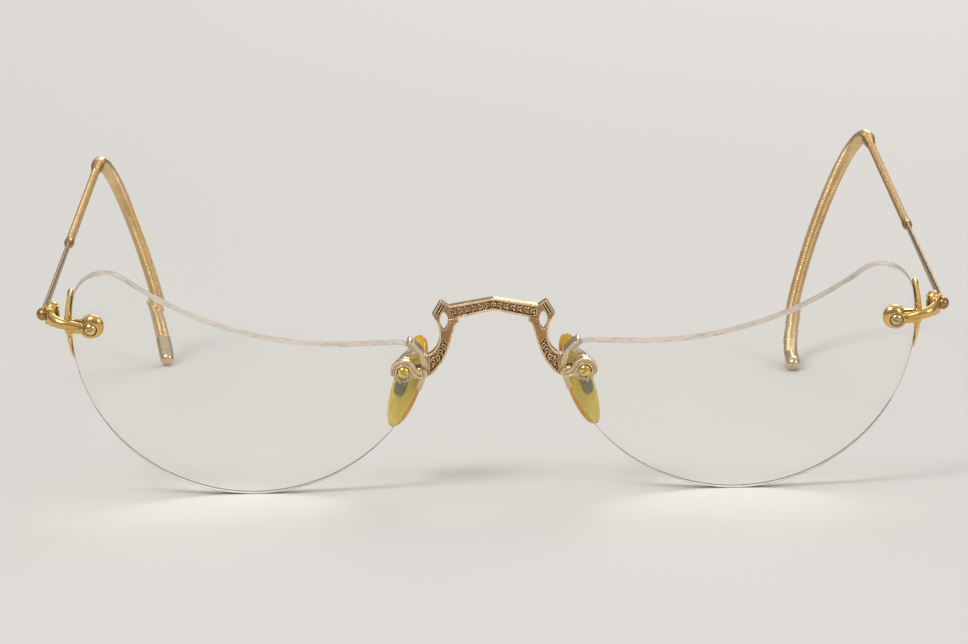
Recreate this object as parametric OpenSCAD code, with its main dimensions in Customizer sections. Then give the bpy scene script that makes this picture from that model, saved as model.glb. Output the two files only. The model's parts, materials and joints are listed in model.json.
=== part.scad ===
// Rimless half-moon reading spectacles: two drilled lenses, an engraved arch bridge,
// straps and screws through the glass, nose pads on bent arms, and temples that fold
// on three-knuckle hinges and end in hooked cables that go behind the ears.
//
// The spectacles stand open on a table, on the two lens bottoms and the two temple tips.
// +X is to the right as seen from the front, +Y runs back to the ears, +Z is up, and the
// origin is on the table under the middle. Left and right are as seen from the front.
// The front is drawn flat, x to the right, y up and z towards the viewer, with the hinge
// line at y = 0 and the front of the glass rim at z = 0.

/* [Lenses] */
// Radius of the round lower part of each lens
lens_r = 23.2; // [21:0.1:25]
// Distance between the two lens centres
lens_pitch = 62.7; // [61:0.1:66]
// Height of the hinge line above the lens centres
lens_drop = 0.96; // [0:0.02:2]
// Glass thickness at the lens centre
lens_t = 3; // [2.6:0.1:3.4]
// Radius of the domed front surface
front_curve = 165; // [140:5:220]
// Radius of the hollow back surface
back_curve = 425; // [300:5:600]
// How far the top edge lies below the lens centre on the nose side
brow_drop = 2.7; // [2:0.1:3.6]
// Radius of the hollow in the top edge
brow_r = 50; // [44:1:60]
// Where that hollow begins, measured from the lens centre towards the nose
brow_start = 12.5; // [10:0.5:14]
// Radius of the top corner on the temple side
lobe_r = 4.3; // [3.5:0.1:5]
// Radius of the top corner on the nose side
corner_r = 3.5; // [3:0.1:4]

/* [Straps and screws] */
// Distance of the lens screws from the edge of the glass
screw_inset = 2.55; // [2.2:0.05:3]
// Angle of the end screw below the lens centre line
end_angle = 0.2; // [0:0.1:3]
// Angle of the nose screw below the lens centre line
nose_angle = 18.2; // [17:0.2:20]
// Radius of the lens screws
screw_r = 0.5; // [0.4:0.02:0.55]
// Radius of the screw heads
head_r = 0.86; // [0.7:0.02:0.9]
// Height of the domed screw heads
head_h = 0.5; // [0.4:0.05:0.7]
// Thickness of the straps that hug the edge of the glass
shoe_t = 0.5; // [0.4:0.05:0.6]
// Half the length of the end strap along the edge
shoe_reach = 4.3; // [3.5:0.1:5]
// Thickness of the ears that lie on the glass
ear_t = 0.6; // [0.5:0.05:0.8]
// Radius of the round eyes of the ears
ear_r = 1.3; // [1.15:0.05:1.4]
// Width of the ribbon that loops over the nose screw
ribbon_w = 0.8; // [0.6:0.05:1]

/* [Bridge] */
// Width of the bridge over its outermost corners
bridge_w = 15.9; // [15.2:0.1:16.4]
// Height of the bridge's peak above the hinge line
bridge_peak = 2.15; // [1.5:0.05:3]
// Height of the bar of the bridge at its peak
bar_h = 1.6; // [1.3:0.05:1.9]
// Fall of the bar from its peak to its ends
bar_fall = 1; // [0.6:0.05:1.3]
// Thickness of the bridge plate behind its raised edges
plate_t = 0.9; // [0.7:0.05:1.2]
// Width of the raised edges
rail_w = 0.3; // [0.24:0.02:0.4]
// Height of the raised edges
rail_t = 0.18; // [0.1:0.02:0.25]

/* [Nose pads] */
// Length of a pad
pad_l = 13; // [11:0.5:14]
// Width of a pad
pad_w = 6.4; // [5.4:0.2:7]
// Thickness of a pad at its middle
pad_t = 1.5; // [1.2:0.1:1.8]
// Thickness of a pad at the sides of its rim
pad_rim_t = 0.5; // [0.4:0.05:0.8]
// Distance of a pad's middle from the nose side of the round rim
pad_out = 3.15; // [2.6:0.05:3.7]
// Depth of a pad's middle below the hinge line
pad_down = 10.8; // [10:0.1:11.5]
// Distance of a pad's middle behind the back edge of the glass
pad_behind = 3.9; // [3.6:0.1:4.5]
// Angle by which the pads spread towards the face
pad_spread = 27; // [20:1:32]
// Angle by which the pads spread downwards
pad_splay = 20; // [14:1:24]

/* [Hinges] */
// Distance of each hinge axis outside the round rim of the glass
hinge_out = 2.55; // [2.45:0.05:2.75]
// Distance of the hinge axes behind the front of the rim
hinge_back = 2.6; // [2.5:0.05:2.8]
// Outer radius of the hinge barrel
barrel_r = 0.95; // [0.85:0.02:1]
// Height of the hinge barrel
barrel_h = 2.5; // [2.4:0.1:3]
// Height of the temple's knuckle in the middle of the barrel
knuckle_h = 1; // [0.8:0.05:1.2]
// Radius of the hinge pin screw
pin_r = 0.4; // [0.34:0.02:0.45]
// Running clearance round the pin
pin_gap = 0.04; // [0.02:0.01:0.08]
// Running clearance between the knuckles
knuckle_gap = 0.05; // [0.03:0.01:0.1]

/* [Temples] */
// Length of the straight temple from the hinge to the ear bow
reach = 97; // [90:1:104]
// Length of the flat shank before the cable begins
shank_l = 43; // [38:1:50]
// Thickness of the shank
shank_t = 0.6; // [0.5:0.05:0.7]
// Height of the shank at the hinge
shank_h = 1.7; // [1.4:0.05:2]
// Radius of the thin cable after the shank
cable_r = 0.6; // [0.5:0.05:0.7]
// Radius of the thick cable of the ear bow
bow_cable_r = 1; // [0.8:0.05:1.1]
// Radius of the ear bow
bow_r = 17.5; // [16:0.5:19]
// How far the left bow is wound round, in degrees
left_wrap = 138; // [130:1:146]
// How far the right bow is wound round, in degrees
right_wrap = 179; // [170:1:179]
// Inward lean of the left bow
left_lean = 17; // [14:0.2:19]
// Inward lean of the right bow
right_lean = 19.4; // [17:0.2:21]
// Length of the straight metal cap on the tip
tail_l = 3.5; // [3:0.1:5]
// Inward angle of the temples
toe_in = 0.6; // [0:0.1:1]

/* [Stance] */
// Forward lean of the lenses from square to the temples
lens_lean = 4; // [2:0.5:6]
// Rise of the hinge frame towards the back as the spectacles stand
stand_tilt = 5; // [4:0.5:6]

/* [Hidden] */
$fn = 64;
LEFT = -1;
RIGHT = 1;
gold = "#c9a14a";
pale_gold = "#c8ab80";
rose_gold = "#b3947a";
amber = "#c8b04a";
glass = "#d7ded8";

// Length over which the cable thickens before the ear bow
taper_l = 5;

// Clearances: between metal and glass, and at a soldered joint
seat_gap = 0.04;
solder_gap = 0.02;
screw_gap = 0.03;
head_gap = 0.06;
hole_r = screw_r + 0.08;
// Width of the screw slots, and their depth as a share of the head
slot_w = 0.2;
slot_share = 0.55;
// How the slots happen to stand
end_slot_turn = -20;
nose_slot_turn = 35;
hinge_slot_turn = 80;
// How far the ends of the lens screws stand out at the back
screw_end = 0.1;
// Overlap that keeps cuts clear of the faces they open
eps = 0.01;

// Glass surfaces, as heights in the drawing of the front
lens_x = lens_pitch / 2;
hinge_x = lens_x + lens_r + hinge_out;
pad_x = lens_x - lens_r + pad_out;
front_top = front_curve - sqrt(pow(front_curve, 2) - pow(lens_r, 2));
back_top = front_top - lens_t;
function glass_front(r) = front_top - front_curve + sqrt(pow(front_curve, 2) - pow(r, 2));
function glass_back(r) = back_top - back_curve + sqrt(pow(back_curve, 2) - pow(r, 2));
edge_back = glass_back(lens_r);
pad_back = pad_behind - edge_back;
// Reach of the shapes that cut through the glass and its mounts
cut_reach = 8;

// Centres of the arcs of the lens outline, from the lens centre
brow_c = [-brow_start, brow_r - brow_drop];
lobe_from = lens_r - lobe_r;
lobe_along = (pow(lobe_from, 2) - pow(brow_r + lobe_r, 2) + pow(norm(brow_c), 2)) / (2 * norm(brow_c));
lobe_across = sqrt(pow(lobe_from, 2) - pow(lobe_along, 2));
lobe_c = (lobe_along * brow_c + lobe_across * [brow_c.y, -brow_c.x]) / norm(brow_c);
corner_y = -brow_drop - corner_r;
corner_c = [-sqrt(pow(lens_r - corner_r, 2) - pow(corner_y, 2)), corner_y];

// Screw places, from the lens centre, x away from the nose
screw_from = lens_r - screw_inset;
end_screw_at = screw_from * [cos(end_angle), -sin(end_angle)];
nose_screw_at = screw_from * [-cos(nose_angle), -sin(nose_angle)];
screw_front = glass_front(screw_from);
screw_back = glass_back(screw_from);
ear_top = screw_front + seat_gap + ear_t;
ear_floor = screw_back - seat_gap - ear_t;
// The straps reach past both faces of the glass with a narrow lip
strap_front = 0.2;
strap_lip = 0.2;
strap_back = edge_back - 0.3;
// Ends of the nose strap: its lower end seen from the lens centre, and its upper end seen
// from the middle of the corner's arc
strap_low_angle = 25.5;
strap_top_angle = 115;
// Spot face of the end ear, on which the screw's head sits, and the boss round it
spot_top = ear_top + 0.05;
boss_sink = 0.5;
boss_dome_r = 1.75;
boss_h = ear_t + 0.5;
// Rolled ends of the end strap
roll_r = 0.42;
// Necks of the ears, from the eye to the strap
end_neck_r = 0.6;
nose_neck_r = 0.62;
// The ribbon on the nose ear: its middle line round the screw, its lift and its edges
ribbon_r = head_r + head_gap + ribbon_w / 2;
ribbon_from = 140;
ribbon_to = -15;
ribbon_lift = 0.12;
ribbon_rail = 0.2;

// Bridge corners, for the right half
bar_end_x = bridge_w / 2 - 2.15;
bar_end_top = bridge_peak - bar_fall;
bar_end_low = bar_end_top - 1.95;
corner_top = [bridge_w / 2 - 1.1, bridge_peak - 0.25];
corner_out = [bridge_w / 2, bridge_peak - 2.15];
corner_low = [bridge_w / 2 - 0.45, bridge_peak - 2.9];
arch_x = bar_end_x - 1.1;
arch_y = bar_end_low + 0.3;
// Width of the ribs and grooves on the corner blocks, and the share of a block they cover
groove_w = 0.17;
groove_from = 0.14;
groove_to = 0.86;
// Pointed openings at the corners
eye_h = 2.6;
eye_w = 1.05;
eye_at = [bar_end_x + 0.62, bar_end_low - 0.1];
// Floor of the panels and back of the plate
bridge_front = -0.3;
bridge_back = bridge_front - plate_t;
shoe_x = lens_x + corner_c.x - corner_r - shoe_t;
arm_top = [shoe_x + 0.2, corner_y - lens_drop + 1.6];
arm_low = [shoe_x + 0.2, corner_y - lens_drop - 1.4];
// Steps along an arm's two edges, and those between which its recessed panel lies
arm_steps = 12;
panel_from = 5;
panel_to = 11;

// Hinge knuckles
pin_hole_r = pin_r + pin_gap;
slot_h = knuckle_h + 2 * knuckle_gap;
turn_r = barrel_r + 0.08;
butt_r = 0.85;
shank_out = barrel_r + 0.25;
hinge_head_r = barrel_r - 0.15;
hinge_head_h = 0.45;
// Lug of the end piece, from the lens centre
bar_r = 0.64;
lug_x = hinge_x - lens_x;
lug_z = -0.6;

// The lens bottoms touch the table with the front of the rim, and the height of the
// hinge line follows from them. Each temple is set so that its tip touches too.
front_tilt = lens_lean + stand_tilt;
hinge_height = hinge_back * sin(front_tilt) + (lens_drop + lens_r) * cos(front_tilt);
cap_r = bow_cable_r + 0.05;
collar_r = cable_r + 0.2;
collar_h = 1.6;
collar_taper = 0.8;
shank_end = shank_l - collar_taper;
// Wire of the guard arms and the plates that hold the pads
wire_r = 0.42;
pad_plate_t = 0.4;
pad_plate_r = 1.1;
pad_plate_h = 1.8;
// A direction that no bent wire or bar here runs along, from which its sides are counted
ring_datum = [0.6, 0, 0.8];
function wrap_of(side) = side == LEFT ? left_wrap : right_wrap;
function lean_of(side) = side == LEFT ? left_lean : right_lean;
function tip_drop(side) = bow_r * (1 - cos(wrap_of(side))) + tail_l * sin(wrap_of(side));
function tip_along(side) = reach + bow_r * sin(wrap_of(side)) + tail_l * cos(wrap_of(side));
function tip_in(side) = tip_drop(side) * sin(lean_of(side));
function tip_y(side) = tip_along(side) * cos(toe_in) - tip_in(side) * sin(toe_in);
function tip_z(side) = -tip_drop(side) * cos(lean_of(side));
function tip_reach(side) = norm([tip_y(side), tip_z(side)]);
function tip_rise(side) = asin((cap_r - hinge_height) / tip_reach(side));
function lift_of(side) = tip_rise(side) - atan2(tip_z(side), tip_y(side)) - stand_tilt;
// Middle of the stance from front to back, halfway from the glass to the end of the bows
stance_y = (reach + bow_r + bow_cable_r - hinge_back - front_top) / 2;

// Named in the order in which the spectacles come apart

// Points along a cubic curve
function curve(a, b, c, d, n) = [
    for (i = [0 : n])
        let (t = i / n, s = 1 - t)
        s * s * s * a + 3 * s * s * t * b + 3 * s * t * t * c + t * t * t * d
];

// The same points moved sideways, to the left of the way they run
function beside(points, w) = [
    for (i = [0 : len(points) - 1])
        let (
            a = points[max(i - 1, 0)],
            b = points[min(i + 1, len(points) - 1)],
            along = (b - a) / norm(b - a)
        )
        points[i] + w * [-along.y, along.x]
];

function reversed(points) = [for (i = [len(points) - 1 : -1 : 0]) points[i]];

// A band of width w on the left of a line of points
module band(points, w) {
    polygon(concat(points, reversed(beside(points, w))));
}

// A straight bar with round ends
module bar(from, to, r) {
    along = to - from;
    translate(from)
        circle(r);
    translate(to)
        circle(r);
    translate(from)
        rotate(atan2(along.y, along.x))
            translate([0, -r])
                square([norm(along), 2 * r]);
}

// Solid swept through rings of points
module sweep(rings) {
    count = len(rings);
    sides = len(rings[0]);
    polyhedron(
        points = [for (ring = rings) for (p = ring) p],
        faces = concat(
            [[for (j = [0 : sides - 1]) j]],
            [
                for (i = [0 : count - 2], j = [0 : sides - 1])
                    let (k = (j + 1) % sides)
                    [i * sides + k, i * sides + j, (i + 1) * sides + j]
            ],
            [
                for (i = [0 : count - 2], j = [0 : sides - 1])
                    let (k = (j + 1) % sides)
                    [i * sides + k, (i + 1) * sides + j, (i + 1) * sides + k]
            ],
            [[for (j = [sides - 1 : -1 : 0]) (count - 1) * sides + j]]
        )
    );
}

// Frames: from the table to the hinge line, and from there to the drawing of the front
module stand() {
    translate([0, -stance_y, hinge_height])
        rotate([stand_tilt, 0, 0])
            children();
}

module front_drawing(side = RIGHT) {
    stand()
        rotate([lens_lean, 0, 0])
            rotate([90, 0, 0])
                translate([0, 0, hinge_back])
                    mirror([side == LEFT ? 1 : 0, 0, 0])
                        children();
}

module lens_drawing(side) {
    front_drawing(side)
        translate([lens_x, -lens_drop, 0])
            children();
}

module hinge_frame(side) {
    stand()
        mirror([side == LEFT ? 1 : 0, 0, 0])
            translate([hinge_x, 0, 0])
                children();
}

module temple_frame(side) {
    hinge_frame(side)
        translate([shank_out, 0, 0])
            rotate([lift_of(side), 0, 0])
                rotate([0, 0, toe_in])
                    children();
}

module pad_frame(side) {
    front_drawing(side)
        translate([pad_x, -pad_down, -pad_back])
            rotate([0, 0, pad_splay])
                rotate([0, 90 - pad_spread, 0])
                    children();
}

// Points along an arc
function arc(centre, r, from, to, n) = [
    for (i = [0 : n])
        let (a = from + (to - from) * i / n)
        centre + r * [cos(a), sin(a)]
];

// Outline of the glass, or of the same outline grown on all sides: the round rim, the
// nose corner, the hollow top edge and the lobe on the temple side
function outline_points(grow = 0) =
    let (
        lobe_a = atan2(lobe_c.y, lobe_c.x),
        corner_a = atan2(corner_c.y, corner_c.x),
        brow_a = atan2(lobe_c.y - brow_c.y, lobe_c.x - brow_c.x)
    )
    concat(
        arc([0, 0], lens_r + grow, lobe_a, corner_a, 64),
        arc(corner_c, corner_r + grow, corner_a, -270, 12),
        arc(brow_c, brow_r - grow, -90, brow_a, 16),
        arc(lobe_c, lobe_r + grow, brow_a + 180, lobe_a, 14)
    );

module lens_outline(grow = 0) {
    polygon(outline_points(grow));
}

// Dished disc between the front and back surfaces, wider than the glass
module lens_shell(grow = 0) {
    rotate_extrude($fn = 160)
        intersection() {
            difference() {
                translate([0, front_top - front_curve])
                    circle(front_curve + grow, $fn = 720);
                translate([0, back_top - back_curve])
                    circle(back_curve - grow, $fn = 1440);
            }
            translate([0, back_top - cut_reach])
                square([lens_r + 2, 2 * cut_reach + lens_t]);
        }
}

module glass_body(grow = 0) {
    intersection() {
        lens_shell(grow);
        translate([0, 0, -cut_reach])
            linear_extrude(2 * cut_reach)
                lens_outline(grow);
    }
}

module lens(side) {
    color(glass, 0.35)
        lens_drawing(side)
            difference() {
                glass_body();
                for (at = [end_screw_at, nose_screw_at])
                    translate([at.x, at.y, -cut_reach])
                        cylinder(r = hole_r, h = 2 * cut_reach);
            }
}

// Slotted round-headed screw, from its head at the top down to its end
module slotted_screw(r, top_r, top_h, length, slot_turn) {
    crown = (pow(top_r, 2) + pow(top_h, 2)) / (2 * top_h);
    difference() {
        union() {
            translate([0, 0, -length])
                cylinder(r = r, h = length + eps);
            intersection() {
                translate([0, 0, top_h - crown])
                    sphere(crown);
                cylinder(r = top_r, h = 2 * top_h);
            }
        }
        rotate(slot_turn)
            translate([-top_r - 1, -slot_w / 2, top_h * (1 - slot_share)])
                cube([2 * top_r + 2, slot_w, top_h]);
    }
}

module end_screw(side) {
    color(pale_gold)
        lens_drawing(side)
            translate([end_screw_at.x, end_screw_at.y, spot_top])
                slotted_screw(screw_r, head_r, head_h, spot_top - ear_floor + screw_end, end_slot_turn);
}

module nose_screw(side) {
    color(gold)
        lens_drawing(side)
            translate([nose_screw_at.x, nose_screw_at.y, ear_top])
                slotted_screw(screw_r, head_r, head_h, ear_top - ear_floor + screw_end, nose_slot_turn);
}

module hinge_screw(side) {
    color(gold)
        hinge_frame(side)
            translate([0, 0, barrel_h / 2])
                slotted_screw(pin_r, hinge_head_r, hinge_head_h, barrel_h, hinge_slot_turn);
}

// Ear outline: a round eye at the screw and a neck to the strap at the edge of the glass
module ear_outline(at, root, eye_r, neck_r) {
    intersection() {
        union() {
            translate(at)
                circle(eye_r);
            bar(at, root, neck_r);
        }
        lens_outline(seat_gap + shoe_t - eps);
    }
}

// Part of the band round the edge of the glass, inside a window
module edge_strap(window) {
    translate([0, 0, strap_back])
        linear_extrude(strap_front - strap_back)
            intersection() {
                difference() {
                    lens_outline(seat_gap + shoe_t);
                    lens_outline(-strap_lip);
                }
                polygon(window);
            }
}

// Strap that hugs the end of the lens, narrowing towards its ends, which are rolled
module end_shoe() {
    middle = (strap_front + strap_back) / 2;
    half = (strap_front - strap_back) / 2;
    low = end_screw_at.y - shoe_reach;
    high = end_screw_at.y + shoe_reach;
    in = lens_r - 3;
    out = lens_r + 2;
    narrowing = 0.65;
    roll_in = 0.2 * roll_r;
    roll_h = 0.9 * half;
    side = [for (t = [-1 : 0.2 : 1]) [(shoe_reach + eps) * t, half * (1 + eps - narrowing * t * t)]];
    intersection() {
        edge_strap([[in, low], [out, low], [out, high], [in, high]]);
        translate([in - 1, end_screw_at.y, middle])
            rotate([90, 0, 90])
                linear_extrude(out - in + 2)
                    polygon(concat(side, [for (p = reversed(side)) [p.x, -p.y]]));
    }
    for (end = [low, high])
        rotate(asin(end / lens_r))
            translate([lens_r + seat_gap + roll_r - roll_in, 0, middle - roll_h / 2])
                cylinder(r = roll_r, h = roll_h);
}

// End piece: strap, ears, rounded bar over the glass, lug and the two outer knuckles
module end_piece(side) {
    color(gold)
        difference() {
            union() {
                lens_drawing(side)
                    difference() {
                        union() {
                            end_shoe();
                            end_boss();
                            end_bar();
                            end_back_ear();
                        }
                        glass_body(seat_gap);
                        translate([end_screw_at.x, end_screw_at.y, -cut_reach])
                            cylinder(r = screw_r + screw_gap, h = 2 * cut_reach);
                        translate([end_screw_at.x, end_screw_at.y, spot_top])
                            cylinder(r = head_r + head_gap, h = cut_reach);
                    }
                lens_drawing(side)
                    end_fork();
                hinge_frame(side)
                    translate([0, 0, -barrel_h / 2])
                        cylinder(r = barrel_r, h = barrel_h);
            }
            hinge_frame(side) {
                translate([0, 0, -slot_h / 2])
                    cylinder(r = turn_r, h = slot_h);
                translate([0, 0, -barrel_h])
                    cylinder(r = pin_hole_r, h = 2 * barrel_h);
            }
        }
}

// Domed boss round the end screw
module end_boss() {
    translate([end_screw_at.x, end_screw_at.y, screw_front - boss_sink])
        intersection() {
            cylinder(r = ear_r, h = boss_sink + boss_h);
            translate([0, 0, boss_sink + boss_h - boss_dome_r])
                sphere(boss_dome_r);
        }
}

// Rounded bar from the boss over the edge of the glass and out to the knee of the lug
module end_bar() {
    over = screw_front + 0.25;
    y = end_screw_at.y;
    rise = 0.5;
    steps = 12;
    sides = 14;
    waist = 0.06;
    path = curve(
        [end_screw_at.x + end_neck_r, y, over],
        [lens_r + 1.6, y, over + 0.1],
        [lug_x + 0.9, y + 0.1, over - 0.2],
        [lug_x, y + rise, lug_z - 0.5],
        steps
    );
    sweep([
        for (i = [0 : steps])
            ring(path, i, bar_r - waist * sin(180 * i / steps), sides, [1, 0, 0], [0, 0, 1])
    ]);
}

module end_back_ear() {
    translate([0, 0, ear_floor])
        linear_extrude(ear_t + 0.6)
            ear_outline(end_screw_at, [lens_r + 0.3, end_screw_at.y], ear_r - 0.1, end_neck_r);
}

// Fork behind the lug, flaring to the height of the barrel
module end_fork() {
    fork_w = 1;
    inset = 0.1;
    y = end_screw_at.y;
    flare_from = lug_z + 0.2;
    flare_to = -hinge_back + barrel_r + inset;
    low = lens_drop - barrel_h / 2 + inset;
    high = lens_drop + barrel_h / 2 - inset;
    translate([lug_x - fork_w / 2, 0, 0])
        rotate([0, 90, 0])
            linear_extrude(fork_w)
                polygon([
                    [-flare_from, y - 0.3],
                    [-flare_to, low],
                    [hinge_back - inset, low],
                    [hinge_back - inset, high],
                    [-flare_to, high],
                    [-flare_from, y + 0.9]
                ]);
}

// Nose strap: a band round the nose corner of the glass, two ears, and on the front ear
// a ribbon with raised edges that runs out from the strap and loops over the screw
module nose_strap(side) {
    low_end = (lens_r + 3) * [-cos(strap_low_angle), -sin(strap_low_angle)];
    top_end = corner_c + 2 * corner_r * [cos(strap_top_angle), sin(strap_top_angle)];
    out = -lens_r - 4;
    root = [corner_c.x - corner_r + 0.1, nose_screw_at.y - 0.3];
    color(pale_gold)
        lens_drawing(side)
            difference() {
                union() {
                    edge_strap([corner_c, top_end, [out, top_end.y], [out, low_end.y], low_end]);
                    translate([0, 0, ear_floor])
                        linear_extrude(ear_top - ear_floor)
                            ear_outline(nose_screw_at, root, ear_r, nose_neck_r);
                    nose_ribbon(root);
                }
                glass_body(seat_gap);
                translate([nose_screw_at.x, nose_screw_at.y, -cut_reach])
                    cylinder(r = screw_r + screw_gap, h = 2 * cut_reach);
            }
}

// Middle line of the ribbon
function ribbon_line(root) =
    let (
        over = nose_screw_at + ribbon_r * [cos(ribbon_from), sin(ribbon_from)],
        along = [sin(ribbon_from), -cos(ribbon_from)]
    )
    concat(
        curve(root, root + [0.8, -0.3], over - 0.7 * along, over, 6),
        part_of(arc(nose_screw_at, ribbon_r, ribbon_from, ribbon_to, 14), 1, 14)
    );

module ribbon_shape(points, w) {
    polygon(concat(beside(points, w / 2), reversed(beside(points, -w / 2))));
}

module nose_ribbon(root) {
    line = ribbon_line(root);
    floor = screw_front - 0.4;
    top = ear_top + ribbon_lift;
    difference() {
        translate([0, 0, floor])
            linear_extrude(top + rail_t - floor)
                intersection() {
                    ribbon_shape(line, ribbon_w);
                    lens_outline(seat_gap + shoe_t - eps);
                }
        translate([0, 0, top])
            linear_extrude(1)
                ribbon_shape(line, ribbon_w - 2 * ribbon_rail);
    }
}

// Bent wire from the back of the nose strap to the plate on the pad
module guard_arm(side) {
    sides = 12;
    steps = 14;
    start = [shoe_x + shoe_t, corner_y - lens_drop + 0.6, strap_back - solder_gap];
    plate = plate_point();
    away = start + [0.9, 1.2, -3];
    home = plate + 2.6 * pad_normal() + 3.6 * pad_up();
    path = curve(start, away, home, plate, steps);
    color(pale_gold)
        front_drawing(side)
            sweep([
                for (i = [0 : steps])
                    ring(path, i, wire_r, sides, [0, 0, -1], pad_normal())
            ]);
}

// Directions up along a pad and out of its outer face, in the drawing of the front
function pad_up() = [-sin(pad_splay), cos(pad_splay), 0];

function pad_normal() = [cos(pad_splay) * cos(pad_spread), sin(pad_splay) * cos(pad_spread), sin(pad_spread)];

function pad_outer() = pad_t / 2 + solder_gap;

function plate_point() =
    [pad_x, -pad_down, -pad_back] + (pad_outer() + pad_plate_t + solder_gap) * pad_normal();

// Ring of points square to a path, with given directions at its two ends
function ring(path, i, r, sides, first, last) =
    let (
        n = len(path) - 1,
        raw = path[min(i + 1, n)] - path[max(i - 1, 0)],
        along = i == 0 ? first : i == n ? -last : raw / norm(raw),
        side_raw = cross(along, ring_datum),
        u = side_raw / norm(side_raw),
        v = cross(along, u)
    )
    [for (j = [0 : sides - 1]) path[i] + r * (cos(360 * j / sides) * u + sin(360 * j / sides) * v)];

// Small plate on the outer face of a pad
module pad_plate(side) {
    color(pale_gold)
        pad_frame(side)
            translate([0, 0, pad_outer()])
                linear_extrude(pad_plate_t)
                    bar([0, -pad_plate_h / 2], [0, pad_plate_h / 2], pad_plate_r);
}

// Oval nose pad with domed faces
module nose_pad(side) {
    dome = (pad_t - pad_rim_t) / 2;
    dome_r = (pow(pad_w / 2, 2) + pow(dome, 2)) / (2 * dome);
    color(amber)
        pad_frame(side)
            intersection() {
                translate([0, 0, -pad_t])
                    linear_extrude(2 * pad_t)
                        polygon([for (a = [0 : 7.5 : 352.5]) [pad_w / 2 * cos(a), pad_l / 2 * sin(a)]]);
                pad_dome(dome_r, 1);
                pad_dome(dome_r, -1);
            }
}

module pad_dome(r, way) {
    translate([0, pad_l, way * (pad_t / 2 - r)])
        rotate([90, 0, 0])
            cylinder(r = r, h = 2 * pad_l, $fn = 240);
}

// Outer and inner edges of an arm of the bridge, from the corner block to the foot
function arm_outer() =
    curve(corner_low, corner_low + [-0.9, -1.85], arm_top + [-1.95, 0.66], arm_top, arm_steps);
function arm_inner() =
    let (from = [arch_x, bar_end_low])
    curve(from, from + [1, -2.4], arm_low + [-3.15, 1.76], arm_low, arm_steps);

// Right half of the bridge's outline, from the peak round to the middle of the arch
function half_bridge() = concat(
    [[0, bridge_peak], [bar_end_x, bar_end_top], corner_top, corner_out],
    arm_outer(),
    reversed(arm_inner()),
    [[arch_x, arch_y], [0, bridge_peak - bar_h]]
);

function part_of(points, from, to) = [for (i = [from : to]) points[i]];

// The whole outline: both points on the middle line stand in the right half
module bridge_outline() {
    right = half_bridge();
    left = reversed(part_of(right, 1, len(right) - 2));
    polygon(concat(right, [for (p = left) [-p.x, p.y]]));
}

// Recessed panels of the right half, which leave the raised edges standing
module half_bridge_panels() {
    end_x = bar_end_x - rail_w;
    polygon([
        [-eps, bridge_peak - rail_w],
        [end_x, bar_end_top - rail_w],
        [end_x, arch_y + rail_w],
        [arch_x, arch_y + rail_w],
        [-eps, bridge_peak - bar_h + rail_w]
    ]);
    polygon(concat(
        part_of(beside(arm_outer(), -rail_w), panel_from, panel_to),
        reversed(part_of(beside(arm_inner(), rail_w), panel_from, panel_to))
    ));
    along = corner_top - corner_out;
    inward = [-along.y, along.x] / norm(along);
    for (i = [0, 1])
        translate(inward * (rail_w + i * 2 * groove_w))
            band([corner_out + groove_from * along, corner_out + groove_to * along], groove_w);
}

// Pointed opening beside each end of the bar
module eye_opening() {
    r = (pow(eye_h / 2, 2) + pow(eye_w / 2, 2)) / eye_w;
    translate(eye_at)
        intersection() {
            translate([r - eye_w / 2, 0])
                circle(r);
            translate([eye_w / 2 - r, 0])
                circle(r);
        }
}

// Arch bridge: a plate with recessed panels, pierced at both corners and cut at its feet
// to the straps it is soldered to
module bridge() {
    color(rose_gold)
        difference() {
            front_drawing()
                translate([0, 0, bridge_back])
                    linear_extrude(plate_t + rail_t)
                        bridge_outline();
            for (side = [LEFT, RIGHT])
                front_drawing(side) {
                    translate([0, 0, bridge_front])
                        linear_extrude(1)
                            half_bridge_panels();
                    translate([0, 0, bridge_back - 1])
                        linear_extrude(plate_t + 2)
                            eye_opening();
                    translate([lens_x, -lens_drop, bridge_back - 1])
                        linear_extrude(plate_t + 2)
                            lens_outline(seat_gap + shoe_t + solder_gap);
                }
        }
}

// Temple shank: middle knuckle, rounded butt and the flat blade
module temple_shank(side) {
    color(gold) {
        difference() {
            union() {
                hinge_frame(side) {
                    translate([0, 0, -knuckle_h / 2])
                        cylinder(r = barrel_r, h = knuckle_h);
                    translate([shank_out, 0, 0])
                        sphere(butt_r);
                }
                temple_frame(side)
                    shank_blade();
            }
            hinge_frame(side) {
                for (way = [0, 1])
                    mirror([0, 0, way])
                        translate([0, 0, knuckle_h / 2])
                            cylinder(r = turn_r, h = barrel_h);
                translate([0, 0, -barrel_h])
                    cylinder(r = pin_hole_r, h = 2 * barrel_h);
            }
        }
    }
}

module shank_blade() {
    sides = 16;
    rings = 12;
    tail_h = 1.7 * cable_r;
    sweep([
        for (i = [0 : rings])
            let (
                t = i / rings,
                y = t * shank_end,
                h = (shank_h + (tail_h - shank_h) * t) / 2,
                w = shank_t / 2
            )
            [for (j = [0 : sides - 1]) let (a = -360 * j / sides) [w * cos(a), y, h * sin(a)]]
    ]);
}

// Collar that joins the shank to the cable
module cable_ferrule(side) {
    color(gold)
        temple_frame(side)
            translate([0, shank_end + solder_gap, 0])
                rotate([-90, 0, 0]) {
                    cylinder(r1 = cable_r, r2 = collar_r, h = collar_taper);
                    translate([0, 0, collar_taper])
                        cylinder(r = collar_r, h = collar_h);
                }
}

// Straight cable, thickening where its outer winding begins
module temple_cable(side) {
    from = shank_l + collar_h + 2 * solder_gap;
    color(gold)
        temple_frame(side)
            translate([0, from, 0])
                rotate([-90, 0, 0]) {
                    cylinder(r = cable_r, h = reach - from - taper_l);
                    translate([0, 0, reach - from - taper_l])
                        cylinder(r1 = cable_r, r2 = bow_cable_r, h = taper_l - solder_gap);
                }
}

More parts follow.
